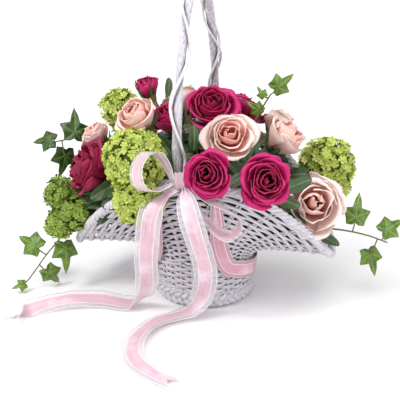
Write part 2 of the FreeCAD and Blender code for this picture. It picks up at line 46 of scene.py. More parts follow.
GOLDEN_ANGLE = 2.39996      # spreads things evenly round a spiral
PETAL_THICKNESS = 0.0004    # petals and leaves, in metres

# ---- the camera, the light and the floor ----

CAMERA_AZIMUTH, CAMERA_ELEVATION, CAMERA_DISTANCE = math.radians(8), math.radians(24), 1.5
sin_a, cos_a = math.sin(CAMERA_AZIMUTH), math.cos(CAMERA_AZIMUTH)
sin_e, cos_e = math.sin(CAMERA_ELEVATION), math.cos(CAMERA_ELEVATION)
camera_right = Vector((cos_a, sin_a, 0))
camera_up = Vector((-sin_a * sin_e, cos_a * sin_e, cos_e))
camera_back = Vector((sin_a * cos_e, -cos_a * cos_e, sin_e))
camera_data = bpy.data.cameras.new("camera")
camera_data.lens, camera_data.sensor_width = 135, 36
camera = bpy.data.objects.new("camera", camera_data)
bpy.context.scene.collection.objects.link(camera)
camera.location = camera_right * -0.005 + camera_up * 0.087 + camera_back * CAMERA_DISTANCE
camera.rotation_euler = camera_back.to_track_quat("Z", "Y").to_euler()
bpy.context.scene.camera = camera


def add_light(name, energy, size, place, towards, kind="AREA"):
    data = bpy.data.lights.new(name, kind)
    data.energy = energy
    if kind == "AREA":
        data.size = size
    else:
        data.angle = size
    light = bpy.data.objects.new(name, data)
    bpy.context.scene.collection.objects.link(light)
    light.location = place
    light.rotation_euler = (Vector(place) - Vector(towards)).to_track_quat("Z", "Y").to_euler()


add_light("key", 19, 0.5, (-1.0, -0.9, 1.5), (0, 0, 0.12))
add_light("fill", 8, 1.4, (1.4, -0.9, 0.8), (0, 0, 0.12))
add_light("sky", 1.25, math.radians(50), (0.2, -0.3, 1.9), (0, 0, 0.1), "SUN")

world = bpy.data.worlds.new("studio")
world.use_nodes = True
world.node_tree.nodes["Background"].inputs["Color"].default_value = (0.98, 0.98, 1.0, 1)
world.node_tree.nodes["Background"].inputs["Strength"].default_value = 0.58
bpy.context.scene.world = world
bpy.context.scene.view_settings.view_transform = "Standard"
bpy.context.scene.view_settings.look = "None"


# ---- node materials ----

class Material:
    """A Principled material with short ways to add the nodes that drive it."""

    def __init__(self, name, roughness, **sockets):
        self.material = bpy.data.materials.new(name)
        self.material.use_nodes = True
        self.tree = self.material.node_tree
        self.shader = self.tree.nodes["Principled BSDF"]
        self.shader.inputs["Roughness"].default_value = roughness
        for socket, value in sockets.items():
            self.shader.inputs[socket.replace("_", " ")].default_value = value

    def node(self, kind, **inputs):
        made = self.tree.nodes.new(kind)
        for socket, value in inputs.items():
            self.plug(made.inputs[socket.replace("_", " ")], value)
        return made

    def plug(self, socket, value):
        if isinstance(value, bpy.types.NodeSocket):
            self.tree.links.new(value, socket)
        else:
            socket.default_value = value

    def attribute(self, name):
        made = self.tree.nodes.new("ShaderNodeAttribute")
        made.attribute_name = name
        return made.outputs["Fac"]

    def where(self, scale=1.0):
        place = self.tree.nodes.new("ShaderNodeTexCoord").outputs["Object"]
        return self.node("ShaderNodeMapping", Vector=place, Scale=(scale, scale, scale)).outputs[0]

    def noise(self, scale, detail=3.0, vector=None, roughness=0.55):
        made = self.node("ShaderNodeTexNoise", Vector=vector or self.where(), Scale=scale, Detail=detail,
                         Roughness=roughness)
        return made.outputs["Fac"]

    def math(self, operation, first, second=0.0, clamp=False):
        made = self.tree.nodes.new("ShaderNodeMath")
        made.operation, made.use_clamp = operation, clamp
        self.plug(made.inputs[0], first)
        self.plug(made.inputs[1], second)
        return made.outputs[0]

    def times(self, first, second):
        return self.math("MULTIPLY", first, second)

    def place(self, x, y, z=0.0):
        return self.node("ShaderNodeCombineXYZ", X=x, Y=y, Z=z).outputs[0]

    def ramp(self, fac, stops):
        made = self.node("ShaderNodeValToRGB", Fac=fac)
        elements = made.color_ramp.elements
        while len(elements) < len(stops):
            elements.new(0.5)
        for element, (place, colour) in zip(elements, stops):
            element.position = place
            element.color = hex_colour(colour)
        return made.outputs["Color"]

    def mix(self, fac, first, second):
        made = self.tree.nodes.new("ShaderNodeMix")
        made.data_type = "RGBA"
        self.plug(made.inputs[0], fac)
        self.plug(made.inputs[6], hex_colour(first) if isinstance(first, str) else first)
        self.plug(made.inputs[7], hex_colour(second) if isinstance(second, str) else second)
        return made.outputs[2]

    def span(self, value, low, high, to_low, to_high):
        made = self.node("ShaderNodeMapRange", Value=value, From_Min=low, From_Max=high, To_Min=to_low,
                         To_Max=to_high)
        return made.outputs[0]

    def finish(self, colour, roughness=None, height=None, bump=0.0, distance=0.0005, alpha=None):
        self.plug(self.shader.inputs["Base Color"], colour)
        if roughness is not None:
            self.plug(self.shader.inputs["Roughness"], roughness)
        if alpha is not None:
            self.plug(self.shader.inputs["Alpha"], alpha)
        if height is not None:
            made = self.node("ShaderNodeBump", Height=height, Strength=bump, Distance=distance)
            self.plug(self.shader.inputs["Normal"], made.outputs[0])
        return self.material


def hex_colour(code):
    """A colour as the eye sees it, such as E6E2E4, in the renderer's linear numbers."""
    shares = [int(code[i:i + 2], 16) / 255 for i in (0, 2, 4)]
    return [s / 12.92 if s <= 0.04045 else ((s + 0.055) / 1.055) ** 2.4 for s in shares] + [1.0]


def wicker_material(name, light, dark):
    """White-washed willow: streaks along each rod, thin paint in places, a tone of its own per rod, and
    painted shade where the vein layer is high."""
    m = Material(name, 0.62, Sheen_Weight=0.05)
    along, around, tone = m.attribute("along"), m.attribute("around"), m.attribute("tone")
    grain_place = m.place(m.times(along, 0.12), m.times(around, 2.2), m.times(tone, 37.0))
    streaks = m.noise(1.6, 4.0, grain_place, 0.6)
    patches = m.noise(120.0, 3.0)
    paint = m.ramp(streaks, [(0.28, dark), (0.5, light), (0.75, "F2F0F2")])
    shaded = m.mix(m.span(tone, 0, 1, 0.0, 0.28), paint, "BDB6BE")
    worn_and_painted_shade = m.mix(m.span(patches, 0.62, 0.75, 0.0, 0.35), shaded, "B9AFA2")
    # painted shade: the rod darkens towards 4C464F where the vein layer is high, beside the strands on the
    # handle core
    worn_and_painted_shade = m.mix(m.times(m.attribute("vein"), 0.8), worn_and_painted_shade, "4C464F")
    rough = m.span(streaks, 0.2, 0.8, 0.72, 0.5)
    return m.finish(worn_and_painted_shade, rough, streaks, 0.3, 0.0005)


def petal_material(name, stops, vein, sheen):
    """A petal: its colour runs from the heart and the foot out to the lip, with fine veins along it."""
    m = Material(name, 0.5, Sheen_Weight=sheen, Sheen_Roughness=0.4, Subsurface_Weight=0.12,
                 Subsurface_Scale=0.002)
    m.shader.inputs["Subsurface Radius"].default_value = (1.0, 0.35, 0.3)
    along, across, depth = m.attribute("along"), m.attribute("around"), m.attribute("tone")
    vein_place = m.place(m.times(across, 14.0), m.times(along, 1.5), m.times(depth, 53.0))
    veins = m.noise(1.4, 3.0, vein_place, 0.5)
    mottle = m.noise(180.0, 2.0)
    fade = m.math("ADD", m.times(along, 0.55), m.times(depth, 0.45))
    fade = m.math("ADD", fade, m.span(mottle, 0.3, 0.7, -0.06, 0.06))
    base = m.ramp(fade, stops)
    veined = m.mix(m.span(veins, 0.45, 0.75, 0.0, 0.35), base, vein)
    return m.finish(veined, m.span(mottle, 0.3, 0.7, 0.42, 0.6), veins, 0.35, 0.0004)


def leaf_material(name, dark, light, vein_colour, roughness):
    m = Material(name, roughness, Coat_Weight=0.12, Coat_Roughness=0.35)
    vein, edge, tone = m.attribute("vein"), m.attribute("along"), m.attribute("tone")
    mottle = m.noise(160.0, 4.0)
    blade = m.mix(m.span(mottle, 0.35, 0.7, 0.0, 1.0), dark, light)
    aged = m.mix(m.times(tone, 0.55), blade, light)
    rimmed = m.mix(m.span(edge, 0.86, 1.0, 0.0, 0.35), aged, light)
    veined = m.mix(m.times(vein, 0.6), rimmed, vein_colour)
    height = m.math("SUBTRACT", m.times(mottle, 0.4), vein)
    return m.finish(veined, m.span(mottle, 0.3, 0.7, roughness - 0.08, roughness + 0.1), height, 0.5, 0.0005)


def ribbon_material(name, satin, satin_painted_shade, sheer, sheer_alpha, satin_alpha=1.0):
    """A satin stripe down the middle, a sheer strip on each side, and a woven line along each edge."""
    m = Material(name, 0.36, Sheen_Weight=0.35, Sheen_Roughness=0.3, Anisotropic=0.4)
    across, along = m.attribute("around"), m.attribute("along")
    side = m.math("ABSOLUTE", across)
    satin_share = m.span(side, 0.5, 0.56, 1.0, 0.0)
    selvedge = m.span(side, 0.93, 0.96, 0.0, 1.0)
    stripe_line = m.times(m.span(side, 0.5, 0.54, 0.0, 1.0), m.span(side, 0.58, 0.62, 1.0, 0.0))
    solid = m.math("MAXIMUM", satin_share, m.math("MAXIMUM", selvedge, stripe_line))
    threads = m.noise(1.0, 2.0, m.place(m.times(across, 60.0), m.times(along, 0.25)), 0.5)
    weft = m.math("SINE", m.times(along, 16.0))
    # painted sheen: long lustre bands run the satin between its darker and lighter colour, and broad glints
    # lighten it as painted highlights
    lustre = m.noise(1.0, 2.0, m.place(m.times(across, 9.0), m.times(along, 0.03), 7.1))
    glints = m.noise(1.0, 2.0, m.place(m.times(across, 0.5), m.times(along, 0.04), 3.3))
    satin_colour = m.mix(m.span(lustre, 0.3, 0.7, 0.0, 1.0), satin_painted_shade, satin)
    satin_colour = m.mix(m.span(threads, 0.4, 0.7, 0.0, 0.3), satin_colour, "F4DFE6")
    satin_colour = m.mix(m.span(glints, 0.5, 0.72, 0.0, 0.75), satin_colour, "F3E6EC")
    colour = m.mix(satin_share, sheer, satin_colour)
    colour = m.mix(m.math("MAXIMUM", selvedge, stripe_line), colour, "F3EBEF")
    cover = m.span(threads, 0.3, 0.7, sheer_alpha - 0.1, sheer_alpha + 0.12)
    alpha = m.math("MAXIMUM", cover, m.times(solid, satin_alpha), clamp=True)
    height = m.math("ADD", m.times(weft, 0.25), threads)
    return m.finish(colour, m.span(threads, 0.3, 0.7, 0.28, 0.5), height, 0.22, 0.0002, alpha)


def speckled_material(name, first, second, roughness, scale, bump):
    m = Material(name, roughness)
    coarse, fine = m.noise(scale, 5.0), m.noise(scale * 7, 3.0)
    colour = m.mix(m.span(coarse, 0.35, 0.65, 0.0, 1.0), first, second)
    return m.finish(colour, m.span(fine, 0.3, 0.7, roughness - 0.12, roughness + 0.1), fine, bump, 0.0006)


wicker = wicker_material("white_wicker", "D6D2D9", "7C7581")
# painted shade and light: the handle core is a darker copy of the willow for the shade on it, and the strands
# a lighter copy for the light on them
willow = wicker_material("handle_willow", "CBC7D0", "8B8590")
lit_strand_willow = wicker_material("lit_strand_willow", "E9E7EB", "A8A2AC")
pink_petal = petal_material(
    "pink_petal", [(0.0, "520012"), (0.3, "8A002C"), (0.6, "B00350"), (0.95, "CC1074")], "800234", 0.08)
peach_petal = petal_material(
    "peach_petal", [(0.0, "EE7A62"), (0.28, "F29C88"), (0.52, "F6C3B7"), (0.85, "FAE3DB")], "F3B3A4", 0.1)
# painted shade: a darker copy of the pink petal for pink_rose_1, for the shade that the rose sits in
dark_petal = petal_material(
    "dark_petal", [(0.0, "4A000E"), (0.3, "7A0122"), (0.6, "92023A"), (0.95, "A8084C")], "6E0226", 0.05)
# painted light: a paler copy of the peach petal for peach_rose_4, for the light that falls on it
lit_peach_petal = petal_material(
    "lit_peach_petal", [(0.0, "EC7560"), (0.22, "F29884"), (0.42, "F8CDC2"), (0.75, "FDEDE7")], "F6C3B6", 0.1)
# painted shade: a darker copy of the floret green for viburnum_3, for the shade that it sits in
shaded_floret = leaf_material("shaded_floret", "66801A", "8BA632", "B9CC6E", 0.55)
floret_material = leaf_material("viburnum_floret", "94AC20", "C9D758", "EEF2B4", 0.55)
floret_core = speckled_material("viburnum_core", "33400F", "5C701C", 0.7, 300, 0.5)
ivy_material = leaf_material("ivy_leaf", "20370E", "3E5E1B", "6E8A40", 0.33)
young_ivy_material = leaf_material("young_ivy_leaf", "3C5C16", "6C8D28", "93AC50", 0.33)
rose_leaf_material = leaf_material("rose_leaf", "22381A", "42602F", "7F9860", 0.42)
stem_material = speckled_material("stem_bark", "5B6B2B", "7C6A3C", 0.55, 220, 0.4)
ribbon = ribbon_material("ribbon", "E6C3CE", "D2A2B1", "ECE4E9", 0.34)
thin_ribbon = ribbon_material("thin_ribbon", "EBCAD4", "DDB3C0", "EFE8EC", 0.3, 0.62)
waist_material = ribbon_material("waist_ribbon", "DC9FB0", "C98799", "D9A5B3", 0.75)
liner_material = speckled_material("liner", "20261A", "2D3526", 0.45, 90, 0.2)
# painted shade: the moss is near black so that the slits of the wing weave look dark
shaded_moss_material = speckled_material("moss", "161F0E", "35451C", 0.9, 260, 0.9)
foam_material = speckled_material("foam", "2F4A22", "48652F", 0.85, 400, 0.6)


# ---- meshes ----

class Build:
    """Gathers points, faces and the numbers per point that the materials read."""

    def __init__(self):
        self.points, self.faces, self.count = [], [], 0
        # the vein layer holds the veins of leaves, sepals and florets, and painted shade on the handle core
        self.layers = {"along": [], "around": [], "tone": [], "vein": []}

    def add(self, points, faces, **layers):
        points = np.asarray(points, float).reshape(-1, 3)
        self.points.append(points)
        self.faces.extend(tuple(self.count + i for i in face) for face in faces)
        for name, values in self.layers.items():
            given = layers.get(name, 0.0)
            values.append(np.broadcast_to(np.asarray(given, float).reshape(-1), (len(points),))
                          if np.size(given) in (1, len(points)) else np.zeros(len(points)))
        self.count += len(points)

    def piece(self, name, material, body="basket", stands_for=(), slot=None):
        mesh = bpy.data.meshes.new(name)
        mesh.from_pydata((np.concatenate(self.points) * MM).tolist(), [], self.faces)
        for layer, values in self.layers.items():
            mesh.attributes.new(layer, "FLOAT", "POINT").data.foreach_set(
                "value", np.concatenate(values).astype(np.float32))
        mesh.polygons.foreach_set("use_smooth", [True] * len(mesh.polygons))
        mesh.update()
        piece = bpy.data.objects.new(name, mesh)
        bpy.context.scene.collection.objects.link(piece)
        mesh.materials.append(material)
        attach(piece, body)
        if stands_for:
            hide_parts(*stands_for)
        return piece


def unit(vectors):
    vectors = np.asarray(vectors, float)
    return vectors / np.maximum(np.linalg.norm(vectors, axis=-1, keepdims=True), 1e-9)


def polar(first, second, phi, out_by):
    """The point out_by away in the direction phi of the plane of first and second."""
    return (np.cos(phi)[..., None] * first + np.sin(phi)[..., None] * second) * out_by[..., None]


def lumps(x, y, z):
    """Smooth noise from -1 to 1 at one point."""
    return noise.noise(Vector((x, y, z)))


def thicken(piece, thickness):
    solid = piece.modifiers.new("thickness", "SOLIDIFY")
    solid.thickness, solid.offset = thickness, 0


def grid_faces(rows, columns, wrap_rows=False, wrap_columns=False):
    faces = []
    for i in range(rows if wrap_rows else rows - 1):
        for j in range(columns if wrap_columns else columns - 1):
            below, right = (i + 1) % rows, (j + 1) % columns
            faces.append((i * columns + j, below * columns + j, below * columns + right, i * columns + right))
    return faces


def add_rod(build, path, wide, thick, sides=8, closed=False, tone=0.0, shade_from=None):
    """A rod along path. wide and thick are the half axes of its section at each point. Near the points of
    shade_from, beside a strand that lies on it, the vein layer carries painted shade."""
    path = np.asarray(path, float)
    turn = np.arange(sides) * TAU / sides
    points = (path[:, None] + wide[:, None] * np.cos(turn)[None, :, None]
              + thick[:, None] * np.sin(turn)[None, :, None])
    steps = np.linalg.norm(np.diff(path, axis=0), axis=1)
    travelled = np.concatenate([[0], np.cumsum(steps)])
    along = np.repeat(travelled, sides)
    around = np.tile(np.abs(np.linspace(-1, 1, sides, endpoint=False)) * 3, len(path))
    faces = grid_faces(len(path), sides, closed, True)
    if not closed:
        faces += [tuple(range(sides))[::-1], tuple((len(path) - 1) * sides + i for i in range(sides))]
    painted_shade = 0.0
    # painted shade in the vein layer: full beside a strand, fading out within a few mm of it
    if shade_from is not None:
        gaps = np.linalg.norm(points.reshape(-1, 1, 3) - shade_from[None], axis=2).min(axis=1)
        painted_shade = np.clip(2.1 - gaps / 2.2, 0, 1)
    build.add(points, faces, along=along, around=around, tone=tone, vein=painted_shade)


def round_rod(build, path, radius, sides=8, closed=False, tone=0.0):
    """A round rod. radius is one number or one for each point."""
    path = np.asarray(path, float)
    if closed:
        ahead = unit(np.roll(path, -1, axis=0) - np.roll(path, 1, axis=0))
    else:
        ahead = unit(np.gradient(path, axis=0))
    # carry one cross direction along the path, so that the section doesn't spin
    side = np.cross(ahead[0], UP if abs(ahead[0][2]) < 0.9 else (1, 0, 0))
    wide = []
    for way in ahead:
        side = unit(side - way * np.dot(side, way))
        wide.append(side)
    wide = np.array(wide)
    thick = np.cross(ahead, wide)
    radius = np.broadcast_to(np.asarray(radius, float).reshape(-1, 1), (len(path), 1))
    add_rod(build, path, wide * radius, thick * radius, sides, closed, tone)


def smooth_path(points, count):
    """count points on a curve that passes through points, evenly spread between them."""
    points = np.asarray(points, float)
    padded = np.concatenate([[2 * points[0] - points[1]], points, [2 * points[-1] - points[-2]]])
    where = np.linspace(0, len(points) - 1, count)
    i = np.minimum(where.astype(int), len(points) - 2)
    t = (where - i)[:, None]
    a, b, c, d = (padded[i + k] for k in range(4))
    return 0.5 * (2 * b + (c - a) * t + (2 * a - 5 * b + 4 * c - d) * t ** 2
                  + (3 * b - a - 3 * c + d) * t ** 3)


# ---- the woven body ----

NECK_RADIUS, NECK_HEIGHT, TAPER, DROP = 46.5, 45.0, 2.0, 28.0
STAKES, STAKE_RADIUS, SECOND_STAKE_RADIUS = 24, 1.25, 1.1
STAKE_ANGLES = (np.arange(STAKES) + 0.5) * TAU / STAKES


def rim_point(angle):
    climb = np.abs(np.sin(angle)) ** 1.6
    return np.stack([125 * np.cos(angle), 80 * np.sin(angle), 47 + 101 * climb], -1)


def wall_point(angle, height):
    """The wall's inner face: height is -1 at the foot, 0 at the neck and 1 at the rim's middle."""
    angle, height = np.broadcast_arrays(np.asarray(angle, float), np.asarray(height, float))
    way = np.stack([np.cos(angle), np.sin(angle), np.zeros_like(angle)], -1)
    h = height[..., None]
    lower = way * (NECK_RADIUS + TAPER * h) + UP * (NECK_HEIGHT + DROP * h)
    top = rim_point(angle)
    neck = way * NECK_RADIUS + UP * NECK_HEIGHT
    bend = way * 1.03 * NECK_RADIUS + UP * (NECK_HEIGHT + 8 + 0.4 * (top[..., 2:] - NECK_HEIGHT))
    upper = neck * (1 - h) ** 2 + bend * (2 * h * (1 - h)) + top * h ** 2
    return np.where(h < 0, lower, upper)


def wall_frame(angle, height):
    """The directions up the wall and outwards from it."""
    step = 0.002
    round_way = wall_point(np.asarray(angle) + step, height) - wall_point(np.asarray(angle) - step, height)
    up_way = wall_point(angle, np.asarray(height) + step) - wall_point(angle, np.asarray(height) - step)
    normal = unit(np.cross(round_way, up_way))
    return unit(up_way), normal


random_tone = random.Random(5)
ROW_SAMPLES = STAKES * 8


def weave_rows(build, heights, swing, half_height, half_thickness, wobble):
    """Closed weavers that pass before one stake and behind the next, each row the other way about."""
    angles = np.arange(ROW_SAMPLES) * TAU / ROW_SAMPLES
    for row, height in enumerate(heights):
        middle = wall_point(angles, height)
        up_way, normal = wall_frame(angles, height)
        wave = np.cos(STAKES / 2 * (angles - STAKE_ANGLES[0]))
        wave = np.sign(wave) * np.abs(wave) ** 0.7 * (1 if row % 2 else -1)
        uneven = np.array([lumps(row * 7.3, math.cos(a) * 2.4, math.sin(a) * 2.4) for a in angles])
        path = middle + normal * (wave * swing + 0.5)[:, None] + up_way * (uneven * wobble)[:, None]
        tall = half_height[row] if np.ndim(half_height) else half_height
        tall = np.broadcast_to(np.asarray(tall, float), angles.shape)[:, None]
        # each rod is stout in places and thin in others
        tall = tall * (1 + 0.16 * uneven[:, None])
        add_rod(build, path, up_way * tall, normal * half_thickness, 8, True, random_tone.random())


LOWER_ROWS = 9
lower_heights = -0.95 + 0.93 * np.arange(LOWER_ROWS) / (LOWER_ROWS - 1)
lower = Build()
weave_rows(lower, lower_heights, 1.2, 1.72, 1.0, 0.25)
lower.piece("lower_weave_rods", wicker, stands_for=["lower_wall_weave"], slot="wicker")

WING_ROWS, WEAVER_SHARE = 25, 0.42      # a weaver's half height, as a share of the rows' spacing
wing_heights = 0.035 + 0.925 * np.arange(WING_ROWS) / (WING_ROWS - 1)
wing_angles = np.arange(ROW_SAMPLES) * TAU / ROW_SAMPLES
wing_gap = (wing_heights[1] - wing_heights[0]) / 2
wing_half_heights = [
    WEAVER_SHARE * np.linalg.norm(
        wall_point(wing_angles, h + wing_gap) - wall_point(wing_angles, h - wing_gap), axis=1)
    for h in wing_heights]
wing = Build()
weave_rows(wing, wing_heights, 1.5, wing_half_heights, 1.0, 0.6)
wing.piece("wing_weave_rods", wicker, stands_for=["wing_weave"], slot="wicker")

stakes = Build()
for stake_angle in STAKE_ANGLES:
    heights = np.linspace(-1.0, 0.985, 40)
    ring = np.full_like(heights, stake_angle)
    up_way, normal = wall_frame(ring, heights)
    path = wall_point(ring, heights) + normal * 0.5
    round_rod(stakes, path, STAKE_RADIUS, tone=random_tone.random())
    # a second stake beside the first, from the neck up, as the wings get wider
    heights = np.linspace(0.05, 0.985, 30)
    ring = stake_angle + np.linspace(0.02, 0.035, 30)
    up_way, normal = wall_frame(ring, heights)
    path = wall_point(ring, heights) + normal * 0.5
    round_rod(stakes, path, SECOND_STAKE_RADIUS, tone=random_tone.random())
stakes.piece("stake_rods", wicker, stands_for=["side_stakes"], slot="wicker")


def ring_frame(angles):
    """The outward directions round a level ring."""
    return np.stack([np.cos(angles), np.sin(angles), np.zeros_like(angles)], -1)


foot = Build()
foot_angles = np.arange(480) * TAU / 480
out = ring_frame(foot_angles)
# the plait that stands out round the foot
PLAIT_TURNS = 13
for strand in range(3):
    phase = PLAIT_TURNS * foot_angles + strand * TAU / 3
    path = (out * (45.6 + 1.5 * np.sin(2 * phase))[:, None]
            + UP * (8.6 + 4.4 * np.sin(phase))[:, None])
    round_rod(foot, path, 2.15 + 0.15 * np.sin(foot_angles * 5 + strand), 8, True, random_tone.random())
    path = (out * (45.0 + 1.3 * np.sin(2 * phase + 0.7))[:, None]
            + UP * (8.4 + 3.6 * np.sin(phase + 0.75))[:, None])
    round_rod(foot, path, 1.7, 8, True, random_tone.random())
# twisted pairs below and above the plait
for radius, height, thick, turns in ((42.7, 2.3, 1.35, 30), (45.6, 15.6, 1.3, 26)):
    for strand in range(2):
        phase = turns * foot_angles + strand * math.pi
        path = out * (radius + 1.05 * np.cos(phase))[:, None] + UP * (height + 0.85 * np.sin(phase))[:, None]
        round_rod(foot, path, thick, 8, True, random_tone.random())
foot.piece("foot_plait", wicker, stands_for=["foot_border"], slot="wicker")

rim = Build()
rim_angles = np.arange(960) * TAU / 960
centre = rim_point(rim_angles)
rim_up, rim_out = wall_frame(rim_angles, np.full_like(rim_angles, 0.97))
for strand in range(4):
    phase = 34 * rim_angles + strand * TAU / 4
    path = centre + rim_out * (2.35 * np.cos(phase) + 0.4)[:, None] + rim_up * (2.1 * np.sin(phase))[:, None]
    round_rod(rim, path, 1.85 + 0.1 * np.sin(rim_angles * 7 + strand), 8, True, random_tone.random())
rim.piece("rim_rods", wicker, stands_for=["rim_border"], slot="wicker")

base = Build()
spoke_count, base_rows = 12, 12
for row in range(base_rows):
    radius = 5 + 33.5 * row / (base_rows - 1)
    angles = np.arange(120) * TAU / 120
    wave = np.cos(spoke_count / 2 * angles) * (1 if row % 2 else -1)
    path = ring_frame(angles) * radius + UP * (2.5 + 0.9 * wave)[:, None]
    round_rod(base, path, 1.5, 6, True, random_tone.random())
for spoke in range(spoke_count):
    way = ring_frame(np.array([(spoke + 0.5) * TAU / spoke_count]))[0]
    round_rod(base, np.linspace(way * 1, way * 39, 6) + UP * 2.5, 1.2, 6, False, random_tone.random())
base.piece("base_rods", wicker, stands_for=["base_weave"], slot="wicker")


# ---- the handle ----

HANDLE_TURN = math.radians(6)
HANDLE_SIDE = np.array((math.cos(HANDLE_TURN), -math.sin(HANDLE_TURN), 0))


def handle_point(across, height):
    return np.array((-8 + across * math.sin(HANDLE_TURN), across * math.cos(HANDLE_TURN), height))


arch = []
for i in range(25):
    angle = math.pi * i / 24
    across = -75 * math.copysign(abs(math.cos(angle)) ** 1.15, math.cos(angle))
    arch.append(handle_point(across, 175 + 145 * max(math.sin(angle), 0) ** 1.15))
legs = ((-42, 68), (-51, 105), (-65, 140))
handle_stops = ([handle_point(a, z) for a, z in legs] + arch + [handle_point(-a, z) for a, z in legs[::-1]])
handle_line = smooth_path(handle_stops, 420)
handle_ahead = unit(np.gradient(handle_line, axis=0))
handle_out = unit(np.cross(handle_ahead, HANDLE_SIDE))
handle_run = np.concatenate([[0], np.cumsum(np.linalg.norm(np.diff(handle_line, axis=0), axis=1))])

HALF_TWIST = 50.0           # along the handle, mm
CORE_HALF_WIDTH, CORE_HALF_THICKNESS = 4.3, 2.7
STRAND_RADIUS, STRANDS_START = 1.35, 150
# each strand: the way round, where it starts round the core, how far it stands off
STRANDS = ((1, 0.0, 5.9), (-1, 0.55, 6.3))
core = Build()
turn = 0.35 * np.sin(TAU * handle_run / (2 * HALF_TWIST))
wide = HANDLE_SIDE * np.cos(turn)[:, None] + handle_out * np.sin(turn)[:, None]
thick = np.cross(handle_ahead, wide)
width = (CORE_HALF_WIDTH + 0.3 * np.sin(handle_run / 41))[:, None]

is_above = handle_line[:, 2] > STRANDS_START
above = slice(int(np.argmax(is_above)), len(is_above) - int(np.argmax(is_above[::-1])))
strands = Build()
strand_paths = []
for strand, (way_round, lead, reach) in enumerate(STRANDS):
    phase = way_round * TAU * handle_run[above] / (2 * HALF_TWIST) + lead
    path = (handle_line[above] + HANDLE_SIDE * ((reach + 0.6) * np.cos(phase))[:, None]
            + handle_out[above] * ((reach - 0.9) * np.sin(phase))[:, None])
    strand_paths.append(path)
    radius = STRAND_RADIUS + 0.2 * np.sin(handle_run[above] / 23 + strand)
    round_rod(strands, path, radius, tone=0.15 + 0.2 * strand)
strands.piece("handle_strands", lit_strand_willow, stands_for=["handle_wrap"], slot="handle_willow")
# the core gets painted shade beside the strands, through the vein layer
add_rod(core, handle_line, wide * width, thick * CORE_HALF_THICKNESS, sides=24, tone=0.1,
        shade_from=np.concatenate(strand_paths))
core.piece("handle_rod", willow, stands_for=["handle_core"], slot="handle_willow")


# ---- the roses ----

# name: middle of the head, radius of the head, the way it faces, how open, seed
ROSES = {
    "pink_rose_1": ((-107, -27, 134), 34, (-0.86, -0.30, 0.42), 0.6, 11),
    "pink_rose_2": ((-60, 24, 198), 18, (-0.2, -0.1, 1), 0.0, 12),
    "pink_rose_3": ((5, 15, 185), 32, (0.08, -0.5, 0.86), 0.75, 13),
    "pink_rose_4": ((-34, -5, 179), 24, (-0.35, -0.35, 0.87), 0.2, 14),
    "pink_rose_5": ((17, -101, 166), 24, (-0.02, -0.95, 0.35), 0.95, 15),
    "pink_rose_6": ((66, -84, 156), 27, (0.22, -0.86, 0.46), 0.9, 16),
    "pink_rose_7": ((28, 66, 167), 26, (0.3, 0.7, 0.65), 0.8, 17),
    "peach_rose_1": ((-57, -40, 194), 28, (-0.42, -0.42, 0.8), 0.5, 21),
    "peach_rose_2": ((30, -44, 180), 27.5, (0.12, -0.74, 0.66), 0.9, 22),
    "peach_rose_3": ((75, 10, 159), 30, (0.74, 0.02, 0.68), 0.35, 23),
    "peach_rose_4": ((106, -25, 106), 38, (0.22, -0.86, 0.46), 0.7, 24),
    "peach_rose_5": ((-107, 7, 155), 20, (-0.6, -0.1, 0.8), 0.5, 25),
    "peach_rose_6": ((-30, 60, 172), 26, (-0.3, 0.65, 0.7), 0.8, 26),
    "peach_rose_7": ((67, 63, 151), 24, (0.5, 0.7, 0.5), 0.7, 27),
}


def head_frame(facing):
    """Two directions across a flower and the one that it faces."""
    axis = unit(facing)
    first = unit(np.cross(axis, (0.3, 0.9, 0.2) if abs(axis[2]) > 0.8 else UP))
    return first, np.cross(axis, first), axis


